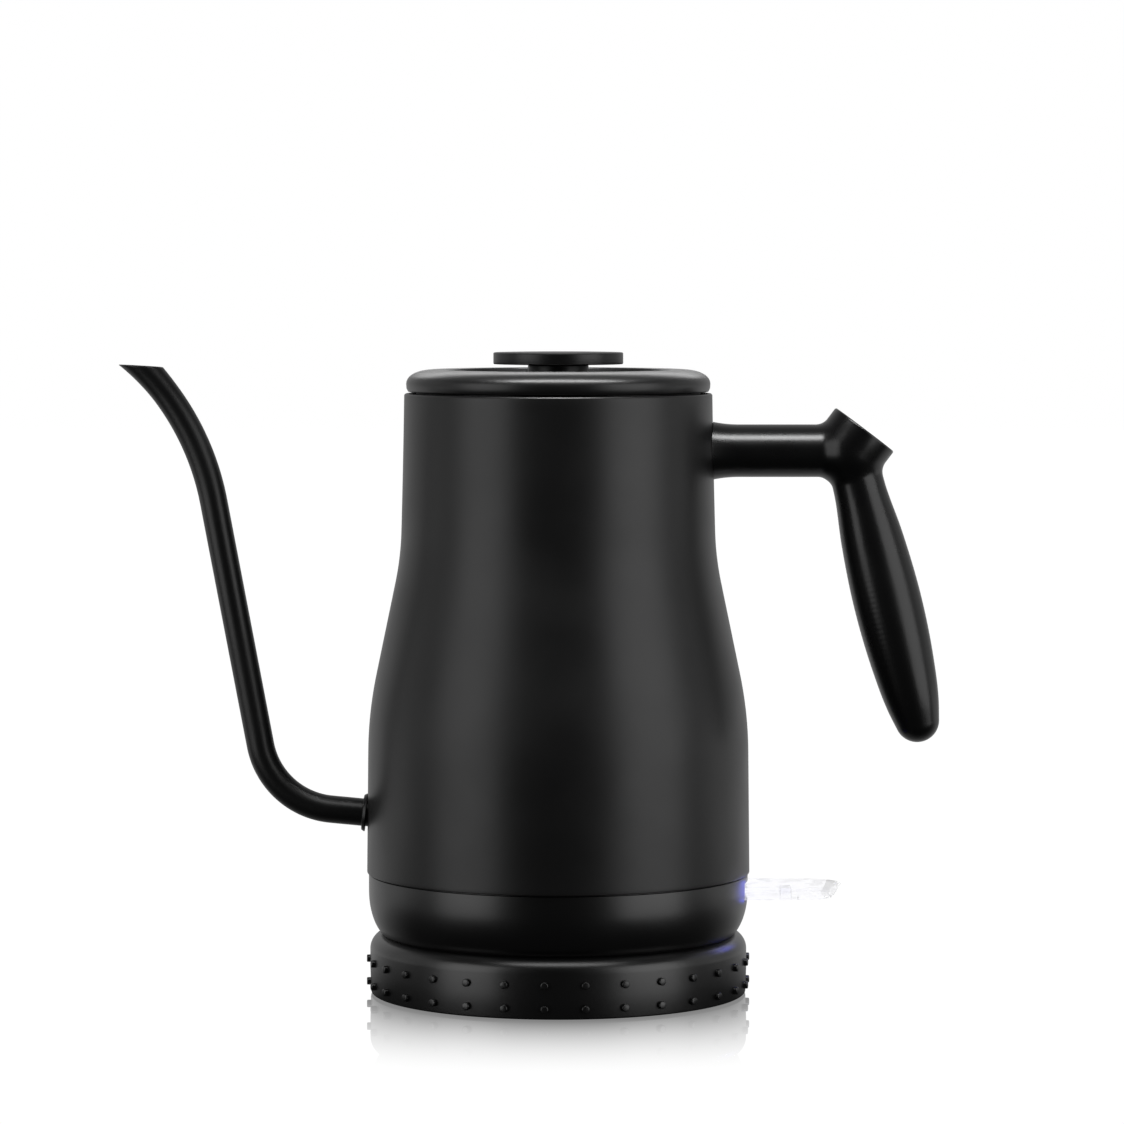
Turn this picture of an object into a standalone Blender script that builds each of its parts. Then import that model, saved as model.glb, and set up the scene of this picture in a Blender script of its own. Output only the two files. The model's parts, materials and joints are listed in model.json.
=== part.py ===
"""An electric gooseneck kettle on its power base, built as the separate pieces that it is assembled from.

The origin is on the kettle's axis, on the table. +X runs to the handle, -X to the spout, +Z up.
Dimensions below are in millimetres, and the objects are made in metres.
"""

import math

import bmesh
import bpy
from mathutils import Matrix, Vector

MM = 0.001
GAP = 0.3  # between two pieces that touch or fit into each other

# Screws: the clearance hole of a cover, and the pilot hole that the thread bites into
SCREW_HOLE_R = 1.7
SCREW_PILOT_R = 1.6

# Power base
BASE_R = 66.0
BASE_TOP = 21.0
BASE_WALL = 2.0
RECESS_R = 60.0
RECESS_FLOOR = 13.5
PLATE_BOTTOM = 0.3
PLATE_TOP = 2.5
NUB_R = 1.25
NUB_TIP_R = 67.2
NUB_HEIGHT = 1.2
NUB_COLUMNS = 30
NUB_ROWS = (4.0, 12.0)
NUB_FIRST_ANGLE = math.radians(-94.0)
BASE_SCREW_RING = 45.0
BASE_SCREW_ANGLE = math.radians(30.0)

# Coupler: the boss of the base, and the socket of the kettle that goes over it
BOSS_R = 21.7
BOSS_TOP = 24.0
BOSS_BORE_R = 4.0
GROOVE = (12.5, 15.5)
GROOVE_FLOOR = 14.0

# Kettle body
BOTTOM_SCREW_RING = 52.0
HOUSING_TOP = 42.2
HOUSING_R = 66.45
SKIRT_R = 57.9
FOOT_BOTTOM = RECESS_FLOOR + GAP
VESSEL_BOTTOM = HOUSING_TOP + GAP
VESSEL_R = 67.05
VESSEL_TOP = 210.2
VESSEL_WALL = 0.8
MOUTH_R = 51.3
# How fast the vessel narrows with height, as (height, mm of radius lost per mm)
VESSEL_SLOPES = (
    (42.5, 0.010), (85.0, 0.010), (112.0, 0.208), (144.0, 0.208), (162.0, 0.028), (208.4, 0.016),
)
# Heights of the vessel's rings: closer together where its side curves
VESSEL_RINGS = (
    205.0, 185.0, 162.0, 156.0, 150.0, 144.0, 128.0, 112.0, 105.0, 98.0, 91.0, 84.0, 64.0, VESSEL_BOTTOM,
)
HEATER_Z = (46.8, 47.8)
ELEMENT_RING_R = 36.0
ELEMENT_R = 3.3
STEAM_TUBE_AT = (44.0, 14.0)

# Spout: a straight root, the lower bend, the long straight, and the crook out to the flared mouth
SPOUT_START = (-65.2, 62.85)
SPOUT_ROOT_RISE = math.radians(5.4)
SPOUT_ROOT_LENGTH = 14.6
SPOUT_BEND_R = 27.8
SPOUT_LEAN = math.radians(10.7)
SPOUT_STRAIGHT = 87.1
SPOUT_CROOK_R = 92.1
SPOUT_END_LEAN = math.radians(48.6)
SPOUT_R = 4.82
SPOUT_WALL = 0.7
SPOUT_FLARE = 0.6
SPOUT_FLARE_LENGTH = 20.0
SPOUT_MOUTH = (-146.1, 219.8)
SPOUT_MOUTH_TILT = math.radians(3.4)

# Handle: a level arm, a round stub that points up and outwards, and a spindle-shaped grip
ARM_Z = 190.1
ARM_R = 9.2
ARM_FOOT_R = 10.0
ARM_END = 98.0
STUB_FACE = (107.2, 197.5)
STUB_LEAN = math.radians(52.9)
STUB_R = 12.7
STUB_LENGTH = 16.0
GRIP_TOP = (102.6, 188.0)
GRIP_SLOPE = -0.251
# Radius of the grip at each height of its centre line
GRIP_STATIONS = (
    (188.0, 9.2), (173.0, 9.4), (158.0, 11.1), (137.0, 11.9), (117.0, 11.1),
    (103.0, 9.3), (95.5, 7.4), (90.5, 4.9), (88.2, 2.4), (87.7, 0.8),
)
CORE_R = 4.0

# Switch lever
LEVER_PIVOT = (60.0, 36.0)
LEVER_TIP = 99.3
LEVER_HALF_WIDTH = 13.2
LEVER_THICKNESS = 4.2
LEVER_BORE_R = 1.5
PUSH_ROD_X = 48.0
PUSH_ROD_R = 1.2

# Lid
LID_BOTTOM = 210.8
LID_R = 53.15
LID_TOP = 218.5
DISH_R = 39.7
DISH_FLOOR = 211.5
PLUG_R = 49.7
PLUG_BOTTOM = 200.0
KNOB_R = 22.7
KNOB_Z = (220.4, 224.5)
STEM_R = 10.6

ROUND = 36  # sides of the large turned pieces
SMALL_ROUND = 24
TINY_ROUND = 12
WIRE_ROUND = 16


def collection(name, hidden=False):
    group = bpy.data.collections.new(name)
    group.hide_render = hidden
    bpy.context.scene.collection.children.link(group)
    return group


def material(name, colour, roughness, metallic=0.0, transmission=0.0, glow=0.0):
    look = bpy.data.materials.new(name)
    look.use_nodes = True
    shader = look.node_tree.nodes["Principled BSDF"]
    shader.inputs["Base Color"].default_value = (*colour, 1.0)
    shader.inputs["Roughness"].default_value = roughness
    shader.inputs["Metallic"].default_value = metallic
    shader.inputs["Transmission Weight"].default_value = transmission
    shader.inputs["Emission Color"].default_value = (*colour, 1.0)
    shader.inputs["Emission Strength"].default_value = glow
    look.diffuse_color = (*colour, 1.0)
    return look


def body(name, x=0.0, z=0.0, parent=None):
    """An empty on a joint's axis, which carries the pieces that move together."""
    empty = bpy.data.objects.new(name, None)
    PARTS.objects.link(empty)
    empty.location = (x * MM, 0.0, z * MM)
    if parent:
        empty.parent = parent
        empty.matrix_parent_inverse = parent.matrix_world.inverted()
    bpy.context.view_layer.update()
    return empty


def put(obj, carrier, look):
    """Gives a piece its body and material. A piece with no body is a cutter or is joined to another."""
    if carrier is None:
        CUTTERS.objects.link(obj)
        obj.hide_render = True
        obj.display_type = "WIRE"
        return obj
    PARTS.objects.link(obj)
    obj.parent = carrier
    obj.matrix_parent_inverse = carrier.matrix_world.inverted()
    obj.data.materials.append(look)
    return obj


def mesh_object(name, bm, carrier, look):
    data = bpy.data.meshes.new(name)
    bm.to_mesh(data)
    bm.free()
    data.shade_smooth()
    data.set_sharp_from_angle(angle=math.radians(35.0))
    return put(bpy.data.objects.new(name, data), carrier, look)


def turned(name, carrier, look, profile, sides=SMALL_ROUND, at=(0.0, 0.0, 0.0), tilt=0.0):
    """A profile of (radius, height) spun about Z, then tipped about Y by tilt and moved to at.

    The profile runs down its outer side. It is a closed loop unless both ends are on the axis.
    """
    data = bpy.data.meshes.new(name)
    points = [(radius * MM, 0.0, height * MM) for radius, height in profile]
    edges = [(i, i + 1) for i in range(len(points) - 1)]
    if profile[0][0] > 0.0:
        edges.append((len(points) - 1, 0))
    data.from_pydata(points, edges, [])
    obj = bpy.data.objects.new(name, data)
    obj.location = Vector(at) * MM
    obj.rotation_euler = (0.0, tilt, 0.0)
    spin = obj.modifiers.new("spin", "SCREW")
    spin.steps = sides
    spin.render_steps = sides
    spin.use_merge_vertices = True
    spin.merge_threshold = 0.00001
    return put(obj, carrier, look)


def box(name, carrier, look, low, high):
    bm = bmesh.new()
    size = Vector(high) - Vector(low)
    middle = (Vector(high) + Vector(low)) / 2
    bmesh.ops.create_cube(bm, matrix=Matrix.Translation(middle * MM) @ Matrix.Diagonal((*(size * MM), 1.0)))
    return mesh_object(name, bm, carrier, look)


def rod(name, carrier, look, radius, start, end, sides=SMALL_ROUND):
    """A cylinder from start to end."""
    bm = bmesh.new()
    start, end = Vector(start) * MM, Vector(end) * MM
    along = end - start
    spin = along.to_track_quat("Z", "Y").to_matrix().to_4x4()
    bmesh.ops.create_cone(
        bm,
        cap_ends=True,
        segments=sides,
        radius1=radius * MM,
        radius2=radius * MM,
        depth=along.length,
        matrix=Matrix.Translation((start + end) / 2) @ spin,
    )
    return mesh_object(name, bm, carrier, look)


def tube(name, carrier, look, points, radius, sides=WIRE_ROUND, radii=None):
    """A solid of round section along a path, made with a bevelled curve."""
    curve = bpy.data.curves.new(name, "CURVE")
    curve.dimensions = "3D"
    curve.bevel_depth = radius * MM
    curve.bevel_resolution = sides // 2 - 2
    curve.use_fill_caps = True
    spline = curve.splines.new("POLY")
    spline.points.add(len(points) - 1)
    for i, point in enumerate(points):
        spline.points[i].co = (*(Vector(point) * MM), 1.0)
        spline.points[i].radius = radii[i] / radius if radii else 1.0
    guide = bpy.data.objects.new(name + "_path", curve)
    bpy.context.scene.collection.objects.link(guide)
    graph = bpy.context.evaluated_depsgraph_get()
    data = bpy.data.meshes.new_from_object(guide.evaluated_get(graph))
    bpy.data.objects.remove(guide)
    bm = bmesh.new()
    bm.from_mesh(data)
    bmesh.ops.remove_doubles(bm, verts=bm.verts, dist=0.00001)
    bmesh.ops.recalc_face_normals(bm, faces=bm.faces)
    return mesh_object(name, bm, carrier, look)


def boolean(obj, operation, others):
    for other in others:
        step = obj.modifiers.new(other.name, "BOOLEAN")
        step.operation = operation
        step.object = other
    return obj


def cut(obj, *cutters):
    return boolean(obj, "DIFFERENCE", cutters)


def join(obj, *others):
    return boolean(obj, "UNION", others)


def around(count, radius, first=0.0):
    """(x, y) of count points spaced evenly on a circle."""
    angles = [first + math.tau * i / count for i in range(count)]
    return [(radius * math.cos(a), radius * math.sin(a)) for a in angles]


def arc(centre, radius, start, end, steps):
    """Points on an arc in the XZ plane, as (x, z), from angle start to angle end."""
    angles = [start + (end - start) * i / steps for i in range(steps + 1)]
    return [(centre[0] + radius * math.cos(a), centre[1] + radius * math.sin(a)) for a in angles]


# Power base


def make_base_housing(carrier, look):
    wall = BASE_R - BASE_WALL
    profile = [
        (RECESS_R, BASE_TOP - 1.6), (RECESS_R + 0.5, BASE_TOP - 0.4), (RECESS_R + 1.8, BASE_TOP),
        (64.0, 20.3), (65.4, 18.7), (BASE_R, 16.2), (BASE_R, 7.0), (BASE_R - 0.4, 1.0),
        (wall - 0.4, 1.0), (wall, 7.0), (wall, 16.0), (wall - 0.8, 18.2), (wall - 1.6, 18.6),
        (RECESS_R + BASE_WALL, 18.0), (RECESS_R + BASE_WALL, RECESS_FLOOR - BASE_WALL),
        (BOSS_R + GAP, RECESS_FLOOR - BASE_WALL), (BOSS_R + GAP, RECESS_FLOOR), (RECESS_R, RECESS_FLOOR),
    ]
    housing = turned("base_housing", carrier, look, profile, ROUND)
    # The small nubs stand in two rows round the wall. They are one mesh, which is joined on.
    bm = bmesh.new()
    for x, y in around(NUB_COLUMNS, 1.0, NUB_FIRST_ANGLE):
        outwards = Vector((x, y, 0.0))
        spin = outwards.to_track_quat("Z", "Y").to_matrix().to_4x4()
        for z in NUB_ROWS:
            middle = outwards * (NUB_TIP_R - NUB_HEIGHT) + Vector((0.0, 0.0, z))
            place = Matrix.Translation(middle * MM) @ spin
            bmesh.ops.create_cone(
                bm,
                cap_ends=True,
                segments=6,
                radius1=NUB_R * MM,
                radius2=0.8 * NUB_R * MM,
                depth=2 * NUB_HEIGHT * MM,
                matrix=place,
            )
    join(housing, mesh_object("base_nubs", bm, None, None))
    boss_top = RECESS_FLOOR - BASE_WALL + 0.5
    for i, (x, y) in enumerate(around(3, BASE_SCREW_RING, BASE_SCREW_ANGLE), 1):
        boss = rod(f"base_boss_{i}", None, None, 3.6, (x, y, PLATE_TOP + GAP), (x, y, boss_top), TINY_ROUND)
        join(housing, boss)
        cut(housing, rod(f"base_pilot_{i}", None, None, SCREW_HOLE_R, (x, y, 0.0), (x, y, 10.0), TINY_ROUND))
    cut(housing, rod("gland_hole", None, None, 3.9, (0.0, 55.0, 8.0), (0.0, 70.0, 8.0)))
    return housing


def make_base(carrier, looks):
    make_base_housing(carrier, looks["base_plastic"])
    rim = BASE_R - BASE_WALL - 0.8
    low, high = (0, 0, PLATE_BOTTOM), (0, 0, PLATE_TOP)
    plate = rod("base_bottom_plate", carrier, looks["base_plastic"], rim, low, high, ROUND)
    for i, (x, y) in enumerate(around(4, 54.0, math.radians(45.0)), 1):
        cut(plate, rod(f"foot_pocket_{i}", None, None, 5.3, (x, y, -1.0), (x, y, 1.5)))
        rod(f"rubber_foot_{i}", carrier, looks["rubber"], 5.0, (x, y, 0.0), (x, y, 1.2))
    for i, (x, y) in enumerate(around(3, BASE_SCREW_RING, BASE_SCREW_ANGLE), 1):
        cut(plate, rod(f"plate_hole_{i}", None, None, SCREW_HOLE_R, (x, y, -1.0), (x, y, 5.0), TINY_ROUND))
        cut(plate, rod(f"plate_counterbore_{i}", None, None, 3.1, (x, y, -1.0), (x, y, 1.6), TINY_ROUND))
        head = [(0.0, 9.0), (1.4, 9.0), (1.4, 1.3), (2.8, 1.3), (2.8, 0.6), (0.0, 0.6)]
        turned(f"base_screw_{i}", carrier, looks["steel"], head, TINY_ROUND, (x, y, 0.0))
    groove_inner, groove_outer = GROOVE
    profile = [
        (BOSS_R, BOSS_TOP), (BOSS_R, PLATE_TOP + GAP), (BOSS_BORE_R, PLATE_TOP + GAP),
        (BOSS_BORE_R, BOSS_TOP), (groove_inner, BOSS_TOP), (groove_inner, GROOVE_FLOOR),
        (groove_outer, GROOVE_FLOOR), (groove_outer, BOSS_TOP),
    ]
    boss = turned("base_connector", carrier, looks["base_plastic"], profile, SMALL_ROUND)
    cut(boss, box("earth_slot", None, None, (17.6, -3.3, 9.7), (25.0, 3.3, 22.3)))
    cut(boss, box("neutral_pocket", None, None, (-10.3, -2.8, 0.0), (-7.2, 2.8, 9.3)))
    box("earth_contact", carrier, looks["brass"], (17.9, -3.0, 10.0), (19.1, 3.0, 22.0))
    box("neutral_terminal", carrier, looks["brass"], (-10.0, -2.5, 3.0), (-7.5, 2.5, 9.0))
    contact = [(3.7, 20.0), (3.7, 5.0), (3.0, 5.0), (3.0, 20.0)]
    turned("live_contact", carrier, looks["brass"], contact, SMALL_ROUND)
    gland = [(3.6, 67.0), (3.6, 57.0), (2.4, 57.0), (2.4, 67.0)]
    sleeve = turned("cord_gland", carrier, looks["rubber"], gland, SMALL_ROUND, (0.0, 0.0, 8.0))
    sleeve.rotation_euler = (-math.pi / 2, 0.0, 0.0)


def make_slip_ring(carrier, looks):
    inner, outer = GROOVE[0] + GAP, GROOVE[1] - GAP
    low = GROOVE_FLOOR + GAP
    ring = [(outer, low + 2.2), (outer, low), (inner, low), (inner, low + 2.2)]
    turned("coupler_slip_ring", carrier, looks["brass"], ring, SMALL_ROUND)


# Kettle


def vessel_radius(height):
    """The slopes summed from the vessel's bottom up to this height."""
    radius = VESSEL_R
    for (low, slope), (high, next_slope) in zip(VESSEL_SLOPES, VESSEL_SLOPES[1:]):
        if height <= low:
            break
        reach = min(height, high) - low
        slope_there = slope + (next_slope - slope) * reach / (high - low)
        radius -= reach * (slope + slope_there) / 2
    return radius


def make_vessel(carrier, looks):
    outer = [(vessel_radius(z), z) for z in VESSEL_RINGS]
    inner = [(radius - VESSEL_WALL, z) for radius, z in outer[::-2]]
    lip = [(MOUTH_R, VESSEL_TOP), (52.7, VESSEL_TOP), (53.7, 209.6), (54.2, 208.4)]
    lip_inside = [(53.4, 208.2), (52.8, 209.1), (52.2, 209.4), (MOUTH_R, 209.4)]
    vessel = turned("vessel", carrier, looks["painted_metal"], lip + outer + inner + lip_inside, ROUND)
    root = Vector((SPOUT_START[0], 0.0, SPOUT_START[1]))
    out = Vector((-math.cos(SPOUT_ROOT_RISE), 0.0, math.sin(SPOUT_ROOT_RISE)))
    cut(vessel, rod("spout_hole", None, None, SPOUT_R + GAP, root - out * 6, root + out * 6, 20))
    cut(vessel, rod("handle_hole", None, None, CORE_R + GAP, (45.0, 0.0, ARM_Z), (60.0, 0.0, ARM_Z)))


def spout_path(bend_steps=7, crook_steps=9):
    """(x, z) along the middle of the spout, from inside the vessel to past the mouth."""
    x, z = SPOUT_START
    heading = math.pi - SPOUT_ROOT_RISE
    points = [(x, z)]
    x += SPOUT_ROOT_LENGTH * math.cos(heading)
    z += SPOUT_ROOT_LENGTH * math.sin(heading)
    upwards = math.pi / 2 + SPOUT_LEAN
    # The lower bend turns clockwise from the root to the long straight.
    centre = (x + SPOUT_BEND_R * math.sin(heading), z - SPOUT_BEND_R * math.cos(heading))
    points += arc(centre, SPOUT_BEND_R, heading + math.pi / 2, upwards + math.pi / 2, bend_steps)
    x, z = points[-1]
    x += SPOUT_STRAIGHT * math.cos(upwards)
    z += SPOUT_STRAIGHT * math.sin(upwards)
    # The crook turns the other way, out over the cup.
    end_heading = math.pi / 2 + SPOUT_END_LEAN
    centre = (x - SPOUT_CROOK_R * math.sin(upwards), z + SPOUT_CROOK_R * math.cos(upwards))
    points += arc(centre, SPOUT_CROOK_R, upwards - math.pi / 2, end_heading - math.pi / 2, crook_steps)
    return points


def spout_radii(points):
    """The tube's radius at each point: even, with a slight flare over the last stretch."""
    mouth_x, mouth_z = points[-1]
    radii = []
    for x, z in points:
        in_flare = max(0.0, 1.0 - math.hypot(x - mouth_x, z - mouth_z) / SPOUT_FLARE_LENGTH)
        radii.append(SPOUT_R + SPOUT_FLARE * in_flare**1.5)
    return radii


def make_spout(carrier, looks):
    path = spout_path()
    radii = spout_radii(path)
    outside = [(x, 0.0, z) for x, z in path]
    spout = tube("spout_tube", carrier, looks["painted_metal"], outside, SPOUT_R, TINY_ROUND, radii)
    first, last = Vector(outside[0]), Vector(outside[-1])
    beyond_first = first + (first - Vector(outside[1])).normalized()
    beyond_last = last + (last - Vector(outside[-2])).normalized()
    inside = [beyond_first, *outside[1:-1], beyond_last]
    bore_radii = [radius - SPOUT_WALL for radius in radii]
    cut(spout, tube("spout_bore", None, None, inside, SPOUT_R, TINY_ROUND, bore_radii))
    above = box("mouth_cut", None, None, (-30.0, -30.0, 0.0), (30.0, 30.0, 40.0))
    above.location = (SPOUT_MOUTH[0] * MM, 0.0, SPOUT_MOUTH[1] * MM)
    above.rotation_euler = (0.0, SPOUT_MOUTH_TILT, 0.0)
    cut(spout, above)
    ring = [(SPOUT_R + 0.35, 1.2), (SPOUT_R + 1.3, 1.2), (6.75, 0.2), (6.75, 0.0), (SPOUT_R + 0.35, 0.0)]
    x = -67.9
    z = SPOUT_START[1] + (SPOUT_START[0] - x) * math.tan(SPOUT_ROOT_RISE)
    flange = turned("spout_flange", carrier, looks["painted_metal"], ring, SMALL_ROUND, (x, 0.0, z))
    flange.rotation_euler = (0.0, SPOUT_ROOT_RISE - math.pi / 2, 0.0)


def make_heater(carrier, looks):
    low, high = HEATER_Z
    rim = VESSEL_R - VESSEL_WALL - GAP - 0.1
    profile = [
        (0.0, high), (rim, high), (rim, 45.6), (rim - 0.9, 45.6), (rim - 0.9, low - 0.2), (0.0, low - 0.2),
    ]
    plate = turned("heater_plate", carrier, looks["steel"], profile, ROUND)
    x, y = STEAM_TUBE_AT
    cut(plate, rod("steam_tube_hole", None, None, 4.3, (x, y, 40.0), (x, y, 55.0)))
    rod("heat_spreader", carrier, looks["aluminium"], 39.5, (0, 0, 42.6), (0, 0, 46.3), 32)
    open_angle = math.radians(22.0)
    element_z = 42.3 - ELEMENT_R
    sweep = math.tau - 2 * open_angle
    ring = arc((0.0, 0.0), ELEMENT_RING_R, -math.pi / 2 + open_angle, -math.pi / 2 + open_angle + sweep, 22)
    tube("heating_element", carrier, looks["steel"], [(a, b, element_z) for a, b in ring], ELEMENT_R, 8)
    for i, (a, b) in enumerate((ring[0], ring[-1]), 1):
        rod(f"element_terminal_{i}", carrier, looks["brass"], 1.6, (a, b, 28.0), (a, b, 35.3), TINY_ROUND)
    steam = [(4.0, 193.0), (4.0, 36.0), (3.5, 36.0), (3.5, 193.0)]
    turned("steam_tube", carrier, looks["steel"], steam, SMALL_ROUND, (x, y, 0.0))
    seal = [(6.4, 50.4), (6.4, 48.1), (4.3, 48.1), (4.3, 50.4)]
    turned("steam_tube_seal", carrier, looks["rubber"], seal, SMALL_ROUND, (x, y, 0.0))


def make_controls(carrier, looks):
    box("control_body", carrier, looks["inner_plastic"], (-20.0, -16.0, 27.9), (20.0, 16.0, 41.0))
    for i, x in enumerate((-11.0, 11.0), 1):
        rod(f"dry_boil_bimetal_{i}", carrier, looks["steel"], 7.0, (x, 0, 41.3), (x, 0, 42.2), WIRE_ROUND)
    x, y = STEAM_TUBE_AT
    box("steam_switch_body", carrier, looks["inner_plastic"], (x - 6.0, 6.0, 27.0), (x + 6.0, 24.0, 34.0))
    rod("steam_bimetal", carrier, looks["steel"], 5.0, (x, y, 34.4), (x, y, 35.2), WIRE_ROUND)
    switch = box("switch_body", carrier, looks["inner_plastic"], (43.0, -5.0, 17.5), (53.0, 5.0, 26.5))
    x = PUSH_ROD_X
    cut(switch, rod("switch_bore", None, None, PUSH_ROD_R + 0.4, (x, 0, 19.0), (x, 0, 30.0), TINY_ROUND))
    box("led_board", carrier, looks["inner_plastic"], (54.0, -8.0, 26.5), (59.0, 8.0, 28.0))
    for i, side in enumerate((-1, 1), 1):
        y = 6.0 * side
        rod(f"indicator_led_{i}", carrier, looks["led"], 1.5, (56.5, y, 28.3), (56.5, y, 32.2), TINY_ROUND)


def make_lower_housing(carrier, looks):
    profile = [
        (65.7, 45.0), (65.7, HOUSING_TOP), (HOUSING_R, HOUSING_TOP), (66.4, 34.0), (66.0, 30.0),
        (65.3, 26.5), (64.3, 24.2), (62.5, 22.3), (60.3, 20.6), (SKIRT_R, 19.8), (SKIRT_R, FOOT_BOTTOM),
        (SKIRT_R - 2.0, FOOT_BOTTOM), (SKIRT_R - 2.0, 21.6), (60.6, 23.8), (62.6, 26.4), (63.7, 30.0),
        (63.7, 45.0),
    ]
    housing = turned("lower_housing", carrier, looks["housing_plastic"], profile, ROUND)
    for i, (x, y) in enumerate(around(3, BOTTOM_SCREW_RING, math.radians(60.0)), 1):
        join(housing, rod(f"housing_boss_{i}", None, None, 4.6, (x, y, 17.3), (x, y, 22.5), TINY_ROUND))
        pilot = rod(f"housing_pilot_{i}", None, None, SCREW_PILOT_R, (x, y, 10.0), (x, y, 21.5), TINY_ROUND)
        cut(housing, pilot)
    pivot_x, pivot_z = LEVER_PIVOT
    for side, name in ((-1, "left"), (1, "right")):
        inner, outer = sorted((14.7 * side, 17.7 * side))
        join(housing, box(f"lever_lug_{name}", None, None, (56.5, inner, 33.0), (62.9, outer, 39.0)))
    cut(housing, box("lever_slot", None, None, (62.0, -14.0, 33.2), (72.0, 14.0, 39.9)))
    left, right = (pivot_x, -20.0, pivot_z), (pivot_x, 20.0, pivot_z)
    cut(housing, rod("lug_bore", None, None, LEVER_BORE_R, left, right, TINY_ROUND))


def make_underside(carrier, looks):
    rim = SKIRT_R - 2.0 - GAP
    ring = [(rim, 17.0), (rim, 14.6), (25.5, 14.6), (25.5, 17.0)]
    cover = turned("bottom_cover", carrier, looks["housing_plastic"], ring, ROUND)
    for i, (x, y) in enumerate(around(3, BOTTOM_SCREW_RING, math.radians(60.0)), 1):
        cut(cover, rod(f"cover_hole_{i}", None, None, SCREW_HOLE_R, (x, y, 10.0), (x, y, 20.0), TINY_ROUND))
        wide = rod(f"cover_counterbore_{i}", None, None, 2.9, (x, y, 10.0), (x, y, 15.9), TINY_ROUND)
        cut(cover, wide)
        pin = [(0.0, 20.5), (1.3, 20.5), (1.3, 15.6), (2.5, 15.6), (2.5, 14.9), (0.0, 14.9)]
        turned(f"bottom_screw_{i}", carrier, looks["steel"], pin, TINY_ROUND, (x, y, 0.0))
    ceiling = BOSS_TOP + 0.5
    socket = [
        (0.0, 27.5), (25.2, 27.5), (25.2, 19.5), (29.0, 19.5), (29.0, 17.3), (25.2, 17.3), (25.2, 14.6),
        (BOSS_R + 0.8, 14.6), (BOSS_R + 0.8, ceiling), (0.0, ceiling),
    ]
    turned("kettle_connector", carrier, looks["inner_plastic"], socket, SMALL_ROUND)
    rod("connector_pin", carrier, looks["brass"], 2.5, (0, 0, 8.0), (0, 0, ceiling - GAP), WIRE_ROUND)
    inner, outer = GROOVE[0] + 0.8, GROOVE[1] - 0.8
    blade = [(outer, ceiling - GAP), (outer, 17.0), (inner, 17.0), (inner, ceiling - GAP)]
    turned("connector_blade_ring", carrier, looks["brass"], blade, SMALL_ROUND)


# Handle


def grip_path():
    """Points and radii down the grip's middle, curved smoothly through the stations."""
    points, radii = [], []
    stations = GRIP_STATIONS
    for i in range(len(stations) - 1):
        before = stations[max(i - 1, 0)]
        low, high = stations[i], stations[i + 1]
        after = stations[min(i + 2, len(stations) - 1)]
        for step in range(2):
            t = step / 2
            z = low[0] + (high[0] - low[0]) * t
            start = (high[1] - before[1]) / (high[0] - before[0]) * (high[0] - low[0])
            end = (after[1] - low[1]) / (after[0] - low[0]) * (high[0] - low[0])
            rise = high[1] - low[1]
            square, cube = 3 * rise - 2 * start - end, start + end - 2 * rise
            radius = low[1] + start * t + square * t**2 + cube * t**3
            points.append(z)
            radii.append(radius)
    points.append(stations[-1][0])
    radii.append(stations[-1][1])
    top_x, top_z = GRIP_TOP
    return [(top_x + (z - top_z) * GRIP_SLOPE, 0.0, z) for z in points], radii


def make_handle(carrier, looks):
    points, radii = grip_path()
    handle = tube("handle_body", carrier, looks["gloss_plastic"], points, 10.0, 20, radii)
    reach = [
        (0.0, ARM_END), (ARM_R, ARM_END), (ARM_R, 64.0), (ARM_R + 0.25, 60.0), (ARM_FOOT_R, 55.5),
        (ARM_FOOT_R, 50.0), (0.0, 50.0),
    ]
    arm = turned("handle_arm", None, None, reach, 20, (0.0, 0.0, ARM_Z), math.pi / 2)
    face = Vector((STUB_FACE[0], 0.0, STUB_FACE[1]))
    out = Vector((math.cos(STUB_LEAN), 0.0, math.sin(STUB_LEAN)))
    stub = rod("handle_stub", None, None, STUB_R, face - out * STUB_LENGTH, face, 28)
    join(handle, arm, stub)
    neck = vessel_radius(ARM_Z) + GAP
    cut(handle, rod("neck_cut", None, None, neck, (0, 0, 150.0), (0, 0, 230.0), ROUND))
    cut(handle, rod("core_bore", None, None, CORE_R + GAP, (40, 0, ARM_Z), (93.3, 0, ARM_Z), WIRE_ROUND))
    cut(handle, rod("cap_pocket", None, None, 11.3, face - out * 1.6, face + out * 5.0, 28))
    cut(handle, rod("lock_screw_hole", None, None, 1.8, (84, 0, 175.0), (84, 0, 187.0), TINY_ROUND))
    rod("handle_end_cap", carrier, looks["gloss_plastic"], 11.0, face - out * 1.3, face - out * 0.1, 28)
    rod("handle_core", carrier, looks["steel"], CORE_R, (47.5, 0, ARM_Z), (93.0, 0, ARM_Z), WIRE_ROUND)
    rod("handle_lock_screw", carrier, looks["steel"], 1.5, (84, 0, 181.3), (84, 0, 185.7), TINY_ROUND)
    nut = rod("handle_nut", carrier, looks["steel"], 6.2, (49.0, 0, ARM_Z), (52.7, 0, ARM_Z), 6)
    cut(nut, rod("nut_bore", None, None, CORE_R + GAP, (45, 0, ARM_Z), (60, 0, ARM_Z), WIRE_ROUND))


# Switch lever


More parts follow.
